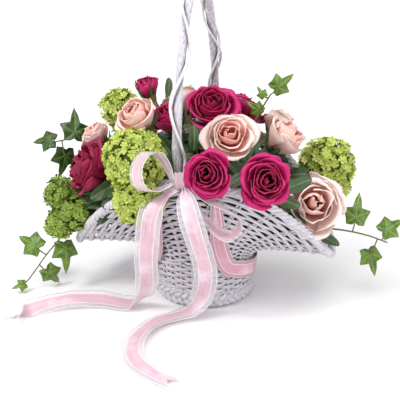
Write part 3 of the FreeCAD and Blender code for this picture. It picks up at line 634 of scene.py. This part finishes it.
def rose(name, middle, radius, facing, openness, seed, material, slot):
    """Petals from a tight spiral heart out to the guard petals, whose lips roll back."""
    draw = random.Random(seed)
    first, second, axis = head_frame(facing)
    middle = np.array(middle, float)
    build = Build()
    rows, columns = 13, 17
    petal_count = (13 if slot == "pink_petal" else 10) + int(5 * openness)
    lean_way = draw.uniform(0, TAU)
    heart_lean = (first * math.cos(lean_way) + second * math.sin(lean_way)) * radius * 0.09
    v = np.linspace(0, 1, rows)[:, None]
    u = np.linspace(-1, 1, columns)[None, :]
    for k in range(petal_count):
        t = k / (petal_count - 1)                       # 0 in the heart, 1 in the guard petals
        spin = k * GOLDEN_ANGLE + draw.uniform(-0.18, 0.18)
        spread = 1.6 - 0.55 * t + draw.uniform(-0.08, 0.08)      # half of the petal's arc
        lip_height = radius * ((0.50 + 0.1 * (1 - openness)) - (0.12 + 0.50 * openness) * t ** 2.2)
        lip_height += radius * draw.uniform(-0.05, 0.05)
        lip_radius = radius * (0.035 + (0.58 + 0.32 * openness) * t ** (0.85 + 0.3 * (1 - openness)))
        belly = radius * (0.16 + (0.48 + 0.12 * openness) * t ** 0.8)
        foot_height = -radius * (0.25 + 0.35 * t ** 0.7)
        # the petal's tip is round, with a small point, and its sides are lower
        reach = 0.95 - 0.24 * np.abs(u) ** 3 + 0.05 * np.exp(-((u - 0.15 * math.sin(k)) / 0.22) ** 2) * t
        w = v * reach
        profile = 0.12 * radius + (belly - 0.12 * radius) * np.sin(np.clip(w * 1.5, 0, 1.0) * math.pi / 2)
        lean = np.clip((w - 0.45) / 0.55, 0, 1.2)
        out_by = profile + (lip_radius - belly) * lean ** 1.4
        height = foot_height + (lip_height - foot_height) * (1 - (1 - np.clip(w, 0, 1)) ** 1.45)
        # the lip rolls back on open petals
        curl = np.clip((w - 0.78) / 0.25, 0, 1.2) ** 2 * t ** 0.8 * (0.35 + 0.65 * openness)
        out_by = out_by + radius * 0.20 * curl
        height = height - radius * 0.15 * curl
        side_curl = np.abs(u) ** 3 * t * (0.3 + 0.7 * openness) * np.clip(w * 1.6 - 0.4, 0, 1)
        out_by = out_by + radius * 0.07 * side_curl
        ruffle = np.array([[lumps(a * 1.7 + k * 3.1, b * 2.3, seed * 1.7) for a in 0.8 * u[0]]
                           for b in v[:, 0]])
        frill = np.array([[lumps(a * 5.5 + k * 7.7, b, seed * 2.9) for a in u[0]] for b in v[:, 0]])
        out_by = out_by * (1 + 0.06 * ruffle * v ** 2) + radius * (0.05 * ruffle + 0.05 * frill) * v ** 4
        height = height + radius * (0.07 * ruffle + 0.06 * frill) * v ** 4
        # no two petals fold alike: a slow wave along the lip, and a quicker one in the heart
        wave = np.sin(u * draw.uniform(1.6, 3.4) + draw.uniform(0, TAU)) * v ** 2.5
        quick = np.sin(u * draw.uniform(5, 8) + draw.uniform(0, TAU)) * v ** 3 * (1 - t)
        out_by = out_by + radius * (0.045 * wave + 0.03 * quick)
        height = height + radius * (0.05 * wave * draw.choice((-1, 1)) + 0.03 * quick)
        # a spiral: one side of each petal tucks under its neighbour
        out_by = out_by * (1 + 0.055 * u * (1 - 0.3 * t))
        phi = spin + u * spread * (0.45 + 0.55 * np.sin(np.clip(w * 1.35, 0, 1) * math.pi / 2))
        flat = polar(first, second, phi, out_by)
        shove = (first * draw.gauss(0, 1) + second * draw.gauss(0, 1)) * radius * 0.03 * (1 - abs(2 * t - 1))
        points = middle + (heart_lean * (1 - t) + shove) + flat + axis * height[..., None]
        build.add(points, grid_faces(rows, columns), along=np.broadcast_to(w, (rows, columns)),
                  around=np.broadcast_to(u, (rows, columns)), tone=t)
    piece = build.piece(name + "_petals", material, name, [name + "_bloom"], slot)
    thicken(piece, PETAL_THICKNESS)


def sepals(name, middle, radius, facing, count=5, rise=0.62):
    """The green leaves under a rose's head, and the swelling that they grow from."""
    first, second, axis = head_frame(facing)
    build = Build()
    base_point = np.array(middle, float) - axis * radius * 0.62
    rows, columns = 8, 5
    v = np.linspace(0, 1, rows)[:, None]
    u = np.linspace(-1, 1, columns)[None, :]
    for k in range(count):
        phi = k * TAU / count + u * 0.55 * (1 - v) ** 0.8
        out_by = radius * (0.2 + 0.52 * np.sin(v * 1.5)) + 0 * u
        height = radius * (0.02 + rise * v ** 1.6) + 0 * u
        flat = polar(first, second, phi, out_by)
        build.add(base_point + flat + axis * height[..., None], grid_faces(rows, columns),
                  along=v + 0 * u, around=v * 0 + u, tone=0.3, vein=np.exp(-((u + 0 * v) / 0.2) ** 2))
    hip = np.linspace(0, 1, 7)
    path = base_point + axis * (hip * radius * 0.34 - radius * 0.16)[:, None]
    round_rod(build, path, radius * (0.13 + 0.13 * np.sin(hip * math.pi * 0.75)), 10, False, 0.4)
    build.piece(name + "_sepals", rose_leaf_material, name, slot="rose_leaf")


# pink_rose_1 takes the petal copy with painted shade, peach_rose_4 the one with painted light
PETALS = {"pink_rose_1": dark_petal, "peach_rose_4": lit_peach_petal}
for rose_name, (middle, radius, facing, openness, seed) in ROSES.items():
    is_pink = rose_name.startswith("pink")
    petal_finish = PETALS.get(rose_name, pink_petal if is_pink else peach_petal)
    rose(rose_name, middle, radius, facing, openness, seed, petal_finish,
         "pink_petal" if is_pink else "peach_petal")
    # the calyx of a large, open bloom is no larger than that of a middling one
    calyx = min(0.88 * radius, 25)
    calyx_middle = np.array(middle) - unit(facing) * (radius - calyx) * 0.62
    sepals(rose_name, calyx_middle, calyx, facing, rise=1.4 if rose_name == "pink_rose_2" else 0.62)


# ---- the viburnums ----

# name: lobes of (middle, radius), the seed
VIBURNUMS = {
    "viburnum_1": ([((-54, -80, 167), 30), ((-48, -95, 135), 24)], 31),
    "viburnum_2": ([((115, 48, 120), 28), ((119, 44, 98), 20)], 32),
    "viburnum_3": ([((-138, -21, 103), 17), ((-121, -30, 88), 18), ((-138, -34, 76), 14)], 33),
    "viburnum_4": ([((-88, 28, 176), 19)], 34),
    "viburnum_5": ([((-78, 54, 146), 23)], 35),
}


FLORETS_PER_SQUARE = 0.46       # florets on a lobe, over its radius squared


def floret(build, middle, facing, size, draw):
    """Five round petals, slightly cupped, round a small green eye."""
    first, second, axis = head_frame(facing)
    tone = draw.random()
    spin = draw.uniform(0, TAU)
    radial = np.array([0.14, 0.45, 0.8, 1.0])
    for k in range(5):
        middle_way = spin + k * TAU / 5 + draw.uniform(-0.08, 0.08)
        wide = np.array([0.2, 0.5, 0.52, 0.26])
        phi = middle_way + wide[:, None] * np.linspace(-1, 1, 3)[None, :]
        cupped = (0.26 * radial ** 2)[:, None] + np.array([0.10, 0.0, 0.10])[None, :]
        lift = cupped + draw.uniform(-0.05, 0.08)
        flat = polar(first, second, phi, (radial * size)[:, None])
        points = middle + flat + axis * (lift * size)[..., None]
        build.add(points, grid_faces(4, 3), along=np.repeat(radial * 0.86, 3), tone=tone,
                  vein=np.repeat([0.9, 0.25, 0.1, 0.3], 3))
    eye = [middle + axis * size * 0.28] + [
        middle + (first * math.cos(a) + second * math.sin(a)) * size * 0.17 + axis * size * 0.08
        for a in np.arange(6) * TAU / 6]
    build.add(eye, [(0, i + 1, (i + 1) % 6 + 1) for i in range(6)], vein=0.9, tone=tone)


def viburnum(name, lobes, seed):
    """Lobes of florets on short stalks round a shaded middle."""
    draw = random.Random(seed)
    build, heart = Build(), Build()
    for middle, radius in lobes:
        middle = np.array(middle, float)
        count = int(FLORETS_PER_SQUARE * radius ** 2)
        for i in range(count):
            z = 1 - 2 * (i + 0.5) / count
            turn = i * GOLDEN_ANGLE
            way = np.array((math.sqrt(1 - z * z) * math.cos(turn), math.sqrt(1 - z * z) * math.sin(turn), z))
            way = unit(way + 0.12 * np.array([draw.gauss(0, 1) for _ in range(3)]))
            lump = noise.noise(Vector(way * 2.3) + Vector((seed, 0, 0)))
            reach = radius * (0.9 + 0.12 * lump) - draw.choice((0, 0, 0, 1.6, 3.2))
            place = middle + way * reach
            others = [(np.array(m), r) for m, r in lobes if r != radius]
            if any(np.linalg.norm(place - m) < r * 0.8 for m, r in others):
                continue
            facing = unit(way + 0.42 * np.array([draw.gauss(0, 1) for _ in range(3)]))
            floret(build, place, facing, draw.uniform(3.4, 4.7), draw)
        rings, around = 12, 18
        for_z = np.linspace(-1, 1, rings)
        grid = []
        for z in for_z:
            for turn in np.arange(around) * TAU / around:
                way = np.array((math.sqrt(max(0, 1 - z * z)) * math.cos(turn),
                                math.sqrt(max(0, 1 - z * z)) * math.sin(turn), z))
                lump = noise.noise(Vector(way * 4.1) + Vector((0, seed, 0)))
                grid.append(middle + way * radius * (0.76 + 0.10 * lump))
        heart.add(grid, grid_faces(rings, around, False, True))
    body = "basket" if name == "viburnum_1" else name
    # viburnum_3 takes the floret copy with painted shade
    florets = shaded_floret if name == "viburnum_3" else floret_material
    build.piece(name + "_florets", florets, body, [name + "_head"], "viburnum_floret")
    heart.piece(name + "_heart", floret_core, body, (), "viburnum_floret")


for viburnum_name, (lobes, seed) in VIBURNUMS.items():
    viburnum(viburnum_name, lobes, seed)


# ---- ivy and rose leaves ----

def add_blade(build, middle, length, facing, tip_way, outline, veins, bend, seed, tone):
    """A leaf from rings round the point where its veins meet. outline gives the reach by angle."""
    normal = unit(facing)
    tip = np.array(tip_way, float)
    tip = unit(tip - normal * np.dot(tip, normal))
    side = np.cross(tip, normal)
    spokes, rings = 72, 7
    turn = np.arange(spokes) * TAU / spokes
    reach = outline(turn)
    root = np.array(middle, float) - tip * length * (0.12 if len(veins) > 1 else 0.0)
    points, along, vein = [root], [0.0], [1.0]
    for ring in range(1, rings + 1):
        share = ring / rings
        for a, r in zip(turn, reach):
            x, y = math.sin(a) * r * share, math.cos(a) * r * share
            near = min(abs(math.remainder(a - v, TAU)) for v in veins)
            fold = 0.10 * min(near, 0.5) * share - 0.5 * bend * (x * x + y * y)
            wave = 0.05 * lumps(x * 3, y * 3, seed * 2.7) * share
            points.append(root + (side * x + tip * y + normal * (fold + wave)) * length)
            along.append(share)
            vein.append(math.exp(-(near * r * share / 0.022) ** 2) if share < 0.93 else 0.0)
    faces = [(0, 1 + i, 1 + (i + 1) % spokes) for i in range(spokes)]
    for ring in range(rings - 1):
        for i in range(spokes):
            j = (i + 1) % spokes
            a, b = 1 + ring * spokes, 1 + (ring + 1) * spokes
            faces.append((a + i, b + i, b + j, a + j))
    build.add(points, faces, along=along, vein=vein, tone=tone)
    return root


IVY_VEINS = (0.0, 1.08, -1.08, 2.3, -2.3)


def ivy_outline(turn):
    """Five pointed lobes, the middle one longest."""
    # corners of the outline as (angle, reach): lobe tips, and the bays between them
    corners = [(0, 0.92), (0.2, 0.64), (0.46, 0.40), (0.8, 0.47), (1.08, 0.60), (1.3, 0.47),
               (1.75, 0.38), (2.3, 0.45), (2.75, 0.33), (math.pi, 0.22)]
    corners += [(TAU - angle, reach) for angle, reach in corners[-2:0:-1]] + [(TAU, 0.92)]
    place = [np.array((math.sin(a) * r, math.cos(a) * r)) for a, r in corners]
    reach = []
    for a in turn:
        i = next(k for k in range(len(corners) - 1) if a <= corners[k + 1][0] + 1e-9)
        first, last = place[i], place[i + 1]
        way, edge = np.array((math.sin(a), math.cos(a))), last - first
        # where the ray at this angle crosses the outline's side
        reach.append((first[0] * edge[1] - first[1] * edge[0]) / (way[0] * edge[1] - way[1] * edge[0]))
    return np.array(reach)


def oval_outline(turn):
    """A pointed oval with small teeth."""
    x, y = np.sin(turn), np.cos(turn)
    reach = 1 / np.sqrt((x / 0.22) ** 2 + (y / 0.5) ** 2)
    pointed = reach * (1 + 0.10 * np.clip(y, 0, 1) ** 8)
    return pointed * (1 + 0.02 * np.sin(turn * 36))


FACING_FRONT = (0.15, -0.88, 0.45)
PETIOLE_SAG = 1.2
YOUNG_SPRIGS = ("ivy_upper_right", "ivy_right", "ivy_lower_left")       # the ones with lighter leaves
SPRIGS = {
    "ivy_upper_left": [
        ([(-27, 9, 113), (-60, 22, 124), (-95, 30, 130), (-128, 25, 143), (-147, 21, 141)], [
            ((-133, 24, 153), 28, FACING_FRONT, (0.2, 0, 1)), ((-160, 20, 141), 22, FACING_FRONT, (-1, 0, 0)),
            ((-144, 22, 122), 26, FACING_FRONT, (-0.3, 0, -1))]),
    ],
    "ivy_lower_left": [
        ([(-27, 0, 82), (-62, 2, 66), (-100, 3, 62), (-131, -5, 60), (-152, -18, 40), (-168, -28, 18)], [
            ((-134, -31, 46), 26, FACING_FRONT, (0, 0, -1)),
            ((-171, -16, 44), 26, FACING_FRONT, (-0.7, 0, 0.4)),
            ((-151, -26, 17), 22, FACING_FRONT, (0.6, 0, -0.8)),
            ((-178, -38, 9), 13, FACING_FRONT, (-0.8, 0, -0.5))]),
    ],
    "ivy_upper_right": [
        ([(21, 17, 133), (40, 33, 160), (49, 41, 176), (58, 42, 192)], [
            ((67, 43, 202), 22, FACING_FRONT, (0.8, 0, 0.6)),
            ((50, 40, 193), 11, FACING_FRONT, (-0.6, 0, 0.8)),
            ((45, 41, 177), 16, FACING_FRONT, (-0.7, 0, 0.5))]),
    ],
    "ivy_right": [
        ([(27, 7, 78), (70, 14, 66), (105, 14, 66), (134, 10, 67), (158, 12, 62), (178, 13, 55)], [
            ((147, 8, 86), 26, FACING_FRONT, (0.1, 0, 1)), ((179, 13, 71), 24, FACING_FRONT, (0.7, 0, 0.6)),
            ((163, 11, 39), 24, FACING_FRONT, (0.2, 0, -1))]),
    ],
    "ivy_back": [
        ([(-8, 27, 108), (-17, 56, 143), (-24, 80, 162), (-30, 104, 156), (-34, 117, 134)], [
            ((-14, 96, 158), 26, (0, 0.9, 0.4), (0.7, 0, 0.6)),
            ((-46, 104, 143), 24, (0, 0.9, 0.4), (-1, 0, 0)),
            ((-28, 124, 117), 26, (0, 0.9, 0.3), (0.2, 0, -1))]),
    ],
    "rose_leaves": [
        ([(-11, 3, 130), (-20, 6, 160), (-34, 12, 188)],
         [((-38, 19, 205), 18, (0.7, -0.7, 0.3), (0.3, 0, 1))]),
        ([(-2, -14, 130), (-4, -28, 157), (-6, -33, 166)], [((-6, -34, 176), 24, FACING_FRONT, (0.1, 0, 1))]),
        ([(27, 0, 68), (70, -2, 60), (100, -3, 61)],
         [((122, -4, 62), 26, (0.1, -0.5, 0.85), (1, -0.2, -0.1))]),
        ([(18, -20, 128), (52, -44, 140), (78, -50, 142)],
         [((95, -56, 142), 30, FACING_FRONT, (0.9, 0, 0.3))]),
        ([(-14, 22, 106), (-36, 54, 132), (-47, 69, 146)],
         [((-54, 79, 156), 26, (-0.4, 0.8, 0.4), (-0.5, 0, 0.8))]),
    ],
}

for sprig_index, (sprig_name, stalks) in enumerate(SPRIGS.items()):
    blades, vines = Build(), Build()
    is_ivy = sprig_name != "rose_leaves"
    for stalk_index, (route, leaves) in enumerate(stalks):
        line = smooth_path(route, 12 * len(route))
        taper = np.linspace(1.15, 0.7, len(line))
        round_rod(vines, line, taper, 8, False, 0.3)
        for leaf_index, (middle, length, facing, tip_way) in enumerate(leaves):
            number = sprig_index * 20 + stalk_index * 5 + leaf_index
            draw = random.Random(number)
            facing = np.array(facing) + [draw.uniform(-0.3, 0.3) for _ in range(3)]
            if is_ivy:
                root = add_blade(blades, middle, length, facing, tip_way, ivy_outline, IVY_VEINS,
                                 draw.uniform(0.7, 1.6), number,
                                 0.25 * draw.random() + (0.6 if length < 20 else 0))
            else:
                root = add_blade(blades, middle, length, facing, tip_way, oval_outline, (0.0, math.pi),
                                 draw.uniform(0.2, 0.6), number, draw.random())
                root = root - unit(np.array(tip_way)) * length * 0.46
            nearest = line[np.argmin(np.linalg.norm(line - root, axis=1))]
            droop = (root + nearest) / 2 - UP * PETIOLE_SAG
            round_rod(vines, smooth_path([nearest, droop, root], 9), 0.7, 6, False, 0.5)
    leaf_finish = rose_leaf_material if not is_ivy else (
        young_ivy_material if sprig_name in YOUNG_SPRIGS else ivy_material)
    blade_piece = blades.piece(sprig_name + "_blades", leaf_finish, "basket", [sprig_name],
                               "ivy_leaf" if is_ivy else "rose_leaf")
    thicken(blade_piece, PETAL_THICKNESS)
    vines.piece(sprig_name + "_vines", stem_material, "basket", (), "stem")

# a bed of moss that lines the wings and closes round the stems; its near-black colour is painted shade, which
# darkens the slits of the weave
moss = Build()
moss_rings, moss_around = 22, 120
bed = []
for ring in range(moss_rings):
    for k in range(moss_around):
        angle = TAU * k / moss_around
        if ring < 12:
            height = 0.02 + 0.80 * ring / 11
            inner = wall_point(angle, height)
            normal = wall_frame(np.array(angle), np.array(height))[1]
            point = inner - normal * 3.2
        else:
            share = (ring - 11) / (moss_rings - 12)
            edge = wall_point(angle, 0.82)
            crown = 128.0
            point = edge * (1 - share) + np.array((0, 0, crown)) * share
            point[2] = edge[2] + (crown - edge[2]) * math.sin(share * math.pi / 2)
        lump = noise.noise(Vector(point) * 0.09) + 0.6 * noise.noise(Vector(point) * 0.3)
        bed.append(point - UP * 1.6 + unit(point - np.array((0, 0, 90))) * (lump * 1.5 - 1.5))
moss.add(bed, grid_faces(moss_rings, moss_around, False, True))
moss.piece("moss_bed", shaded_moss_material, "basket", (), "foam")

# leaves that close the gaps between the flowers and hide the foam
filler = Build()
draw = random.Random(77)
FILLERS = 150
for i in range(FILLERS):
    turn = i * GOLDEN_ANGLE
    away = math.sqrt((i + 0.5) / FILLERS)
    x, y = 112 * away * math.cos(turn), 68 * away * math.sin(turn)
    z = 151 - 22 * away ** 2 + draw.uniform(-8, 5)
    rim_high = rim_point(np.array(turn))[2]
    if away > 0.62:
        z = min(z, rim_high + 14 + 40 * (1 - away))
    out_way = np.array((math.cos(turn) * away, math.sin(turn) * away, 0.9))
    facing = unit(out_way + 0.3 * np.array([draw.gauss(0, 1) for _ in range(3)]))
    tip_way = np.array((math.cos(turn), math.sin(turn), 0.2)) + [draw.uniform(-0.5, 0.5) for _ in range(3)]
    add_blade(filler, (x, y, z), draw.uniform(18, 27), facing, tip_way, oval_outline, (0.0, math.pi), 0.5, i,
              0.4 * draw.random())
# leaves along the left wing, below the pink rose, and along the right one
WING_LEAVES = [
    ((-92, -44, 118), 32, (-0.7, 0, -0.5)), ((-78, -58, 112), 30, (-0.9, 0, -0.2)),
    ((-104, -34, 102), 34, (-0.8, 0, -0.3)), ((-88, -48, 98), 32, (-0.4, 0, -0.8)),
    ((-112, -14, 112), 34, (-0.9, 0, 0.2)), ((-118, -30, 84), 30, (-0.9, 0, -0.3)),
    ((-100, 12, 118), 34, (-0.8, 0, 0.4)), ((-84, -20, 130), 34, (-0.6, 0, 0.5)),
    ((-120, 4, 92), 32, (-1, 0, 0.2)), ((-96, 32, 112), 32, (-0.7, 0.5, 0.3)),
    ((-70, -66, 124), 26, (-0.5, 0, -0.6)), ((84, -48, 120), 30, (0.8, 0, -0.3)),
    ((92, 24, 118), 32, (0.8, 0, 0.2)), ((60, -40, 150), 28, (0.5, 0, 0.5)),
    ((48, -14, 160), 28, (0.1, 0, 0.9)), ((88, -30, 128), 32, (0.9, 0, 0.1)),
    ((0, -64, 158), 26, (0.2, 0, 0.8)), ((40, -72, 150), 26, (0.5, 0, 0.6)),
    ((8, 4, 158), 32, (0.4, 0, 0.8)), ((-22, 2, 154), 32, (-0.3, 0, 0.9)),
    ((58, 0, 146), 32, (0.6, 0, 0.5)), ((-34, -26, 160), 30, (-0.5, 0, 0.7)),
    ((36, 0, 156), 32, (0.2, 0, 0.9)),
]
for number, (middle, length, tip_way) in enumerate(WING_LEAVES):
    facing = np.array((0.1, -0.8, 0.6)) + [draw.uniform(-0.25, 0.25) for _ in range(3)]
    add_blade(filler, middle, length, facing, tip_way, oval_outline, (0.0, math.pi), draw.uniform(0.3, 0.9),
              200 + number, 0.3 * draw.random())
filler.piece("filler_leaves", rose_leaf_material, "basket", (), "rose_leaf")


# ---- the ribbon ----

RIBBON_WIDTH, WAIST_WIDTH, RIBBON_THICKNESS = 22.0, 18.0, 0.35


def ribbon_strip(name, stops, width, material, slot, stands_for, crinkle, seed, cut_end=0.0,
                 piece_step=2.0):
    """A ribbon through (point, direction across, share of the width), with soft folds along it."""
    middles = smooth_path([s[0] for s in stops], 400)
    across = unit(smooth_path([unit(s[1]) for s in stops], 400))
    shares = smooth_path([(s[2] if len(s) > 2 else 1.0, 0, 0) for s in stops], 400)[:, 0]
    run = np.concatenate([[0], np.cumsum(np.linalg.norm(np.diff(middles, axis=0), axis=1))])
    length = run[-1]
    count = max(24, int(length / piece_step))
    even = np.linspace(0, length, count)

    def at(values):
        return np.stack([np.interp(even, run, values[:, i]) for i in range(values.shape[1])], -1)

    middles, across = at(middles), at(across)
    shares = np.interp(even, run, shares)
    ahead = unit(np.gradient(middles, axis=0))
    across = unit(across - ahead * np.sum(across * ahead, axis=1, keepdims=True))
    normal = np.cross(ahead, across)
    columns = 17
    u = np.linspace(-1, 1, columns)
    points, along_layer, around_layer = [], [], []
    for i in range(count):
        half = width / 2 * shares[i]
        gathered = 1 - shares[i]
        for side in u:
            # the last tenth is drawn back in the middle, which gives the tail its forked end
            shift = -cut_end * (1 - abs(side)) * max(0.0, (i / (count - 1) - 0.9) * 10)
            ripple = crinkle * lumps(even[i] * 0.045 + seed * 9.1, side * 0.9, seed)
            pleat = gathered * 2.4 * math.sin(side * 8.5 + seed)
            cup = crinkle * 0.7 * (side * side - 0.35) * math.sin(even[i] * 0.06 + seed)
            points.append(middles[i] + across[i] * half * side + ahead[i] * shift
                          + normal[i] * (ripple + pleat + cup))
            along_layer.append(even[i])
            around_layer.append(side)
    points = np.array(points)
    points[:, 2] = np.maximum(points[:, 2], 0.5)
    build = Build()
    build.add(points, grid_faces(count, columns), along=along_layer, around=around_layer)
    piece = build.piece(name, material, "basket", [stands_for], slot)
    thicken(piece, RIBBON_THICKNESS * MM)


LEVEL = (1, 0.1, 0)
LOOP_START = np.array((-16, -104, 158))
LOOP_OUT, LOOP_UP = np.array((-0.66, -0.46, 0.34)), np.array((0.1, 0.5, 0.95))
LOOP_OUTLINE = [(0, 2, 0.35), (10, 12, 0.8), (24, 20, 1), (37, 17, 1), (44, 4, 1), (38, -9, 1), (24, -12, 1),
                (10, -7, 0.8), (0, -2, 0.35)]
LOOP_LEFT = [(LOOP_START + LOOP_OUT * out_by + LOOP_UP * rise, np.cross(LOOP_OUT, LOOP_UP), share)
             for out_by, rise, share in LOOP_OUTLINE]
LOOP_RIGHT = [
    ((-1.4, -95, 150), (0, -0.95, 0.3), 0.4), ((13, -102, 141), (0, -0.95, 0.3), 0.9),
    ((29, -105, 136), (0, -0.95, 0.3)), ((43, -103, 127), (0.2, -0.9, 0.3)),
    ((45, -101, 115), (0.3, -0.9, 0.1)), ((36, -101, 106), (0.2, -0.95, -0.1)),
    ((22, -101, 112), (0.1, -0.95, -0.1)), ((9, -99, 128), (0.1, -0.95, 0), 0.7),
    ((-4, -95, 146), (0, -0.95, 0), 0.4),
]
TAIL_LEFT = [
    ((-13, -102.5, 150), (1, 0, 0.3), 0.45), ((-24, -113, 145), (0.8, -0.3, 0.4), 0.9),
    ((-33, -119, 132), (0.95, 0, 0.3)), ((-38, -110, 104), (0.99, 0, 0.15)), ((-43, -91, 72), LEVEL),
    ((-46, -72, 44), LEVEL), ((-50, -60, 22), (0.9, 0.4, 0)), ((-58, -55, 8), (0.5, 0.85, 0.1)),
    ((-72, -53, 5), (0, 0.97, 0.25)), ((-98, -52, 7), (0, 0.95, 0.3)), ((-125, -59, 8), (0.1, 0.95, 0.3)),
    ((-151, -72, 6), (0.4, 0.9, 0.2)), ((-176, -102, 4), (0.75, 0.65, 0.1)),
]
TAIL_RIGHT = [
    ((-5, -102, 150), (1, 0, 0.2), 0.3), ((-2, -112, 144), (1, 0, 0.2), 0.8),
    ((3, -119, 129), (1, 0, 0.2)), ((8, -115, 108), (1, 0, 0.1)), ((11, -103, 86), LEVEL),
    ((12, -88, 65), LEVEL), ((10, -73, 42), LEVEL), ((5, -64, 22), (1, -0.3, 0.1)),
    ((-5, -66, 9), (0.75, -0.65, 0.1)), ((-19, -72, 5), (0.6, -0.8, 0.1)),
    ((-36, -88, 5), (0.8, -0.6, 0.15)), ((-47, -118, 6), (0.97, -0.05, 0.25)),
    ((-47, -147, 6), (0.9, 0.3, 0.2)), ((-37, -167, 5), (0.6, 0.75, 0.1)),
    ((-19, -182, 4.5), (0.4, 0.9, 0.1)), ((3, -196, 4.5), (0.4, 0.9, 0.1)),
]
WAIST_ROUTE = [
    (281, 0.86, 0.45), (284, 0.66, 0.7), (288, 0.44, 0.85), (294, 0.22, 0.95), (303, 0.02, 0.95),
    (316, -0.16, 1), (334, -0.34, 1), (352, -0.45, 1), (400, -0.45, 1), (440, -0.45, 1), (480, -0.45, 1),
    (530, -0.45, 1), (548, -0.36, 0.85), (562, -0.14, 0.75), (576, 0.18, 0.85), (590, 0.45, 0.9),
    (604, 0.7, 0.7), (615, 0.86, 0.45),
]
waist_fine = smooth_path(WAIST_ROUTE, 70)
waist_angles, waist_heights = np.radians(waist_fine[:, 0]), waist_fine[:, 1]
waist_out = wall_frame(waist_angles, waist_heights)[1]
WAIST_STAND_OFF = 5.4
waist_points = wall_point(waist_angles, waist_heights) + waist_out * WAIST_STAND_OFF
waist_ahead = unit(np.gradient(waist_points, axis=0))
waist_across = np.cross(waist_out, waist_ahead)
waist_stops = list(zip(waist_points, waist_across, waist_fine[:, 2]))
ribbon_strip("waist_band", waist_stops, WAIST_WIDTH, waist_material, "waist_ribbon", "waist_ribbon",
             0.35, 4)
ribbon_strip("left_loop", LOOP_LEFT, RIBBON_WIDTH, ribbon, "ribbon", "bow_loop_left",
             0.5, 2, piece_step=1.3)
ribbon_strip("right_loop", LOOP_RIGHT, RIBBON_WIDTH, thin_ribbon, "ribbon", "bow_loop_right",
             0.6, 3, piece_step=1.3)
ribbon_strip("left_tail", TAIL_LEFT, RIBBON_WIDTH, ribbon, "ribbon", "ribbon_tail_left",
             1.4, 5, cut_end=13)
ribbon_strip("right_tail", TAIL_RIGHT, RIBBON_WIDTH, ribbon, "ribbon", "ribbon_tail_right",
             1.4, 6, cut_end=13)

# the knot: the ribbon drawn once round the middle of the bow, in pleats
knot = Build()
knot_middle, knot_rings, knot_columns = np.array((-10.0, -94.5, 155.5)), 40, 15
points, along_layer, around_layer = [], [], []
for i in range(knot_rings):
    turn = TAU * i / knot_rings
    for j in range(knot_columns):
        side = -1 + 2 * j / (knot_columns - 1)
        swell = 1 - 0.22 * side * side
        pleat = 0.55 * math.sin(side * 10 + 1.5 * math.sin(turn)) + 0.3 * lumps(side * 2, turn, 3)
        points.append(knot_middle + np.array((
            side * 7.4, (5.0 * swell + pleat) * math.cos(turn), (7.6 * swell + pleat) * math.sin(turn))))
        along_layer.append(turn * 6)
        around_layer.append(side)
knot.add(points, grid_faces(knot_rings, knot_columns, True, False), along=along_layer, around=around_layer)
knot_piece = knot.piece("knot_wrap", ribbon, "basket", ["bow_knot"], "ribbon")
thicken(knot_piece, RIBBON_THICKNESS * MM)


# ---- the CAD nodes that stay shown ----

kept_finishes = {"plastic_liner": liner_material, "floral_foam": foam_material}
for node_name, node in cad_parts.items():
    if node_name.endswith("_stem"):
        kept_finishes[node_name] = stem_material
for node_name, finish in kept_finishes.items():
    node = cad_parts[node_name]
    node.data.materials.clear()
    node.data.materials.append(finish)


# ---- the floor ----

floor_material = speckled_material("floor_paper", "FFFFFF", "FAFAFB", 0.9, 8, 0.02)
floor_mesh = bpy.data.meshes.new("floor")
FLOOR_HALF = 6.0
floor_corners = [(x * FLOOR_HALF, y * FLOOR_HALF, 0) for x, y in ((-1, -1), (1, -1), (1, 1), (-1, 1))]
floor_mesh.from_pydata(floor_corners, [], [(0, 1, 2, 3)])
floor = bpy.data.objects.new("floor", floor_mesh)
floor_mesh.materials.append(floor_material)
bpy.context.scene.collection.objects.link(floor)
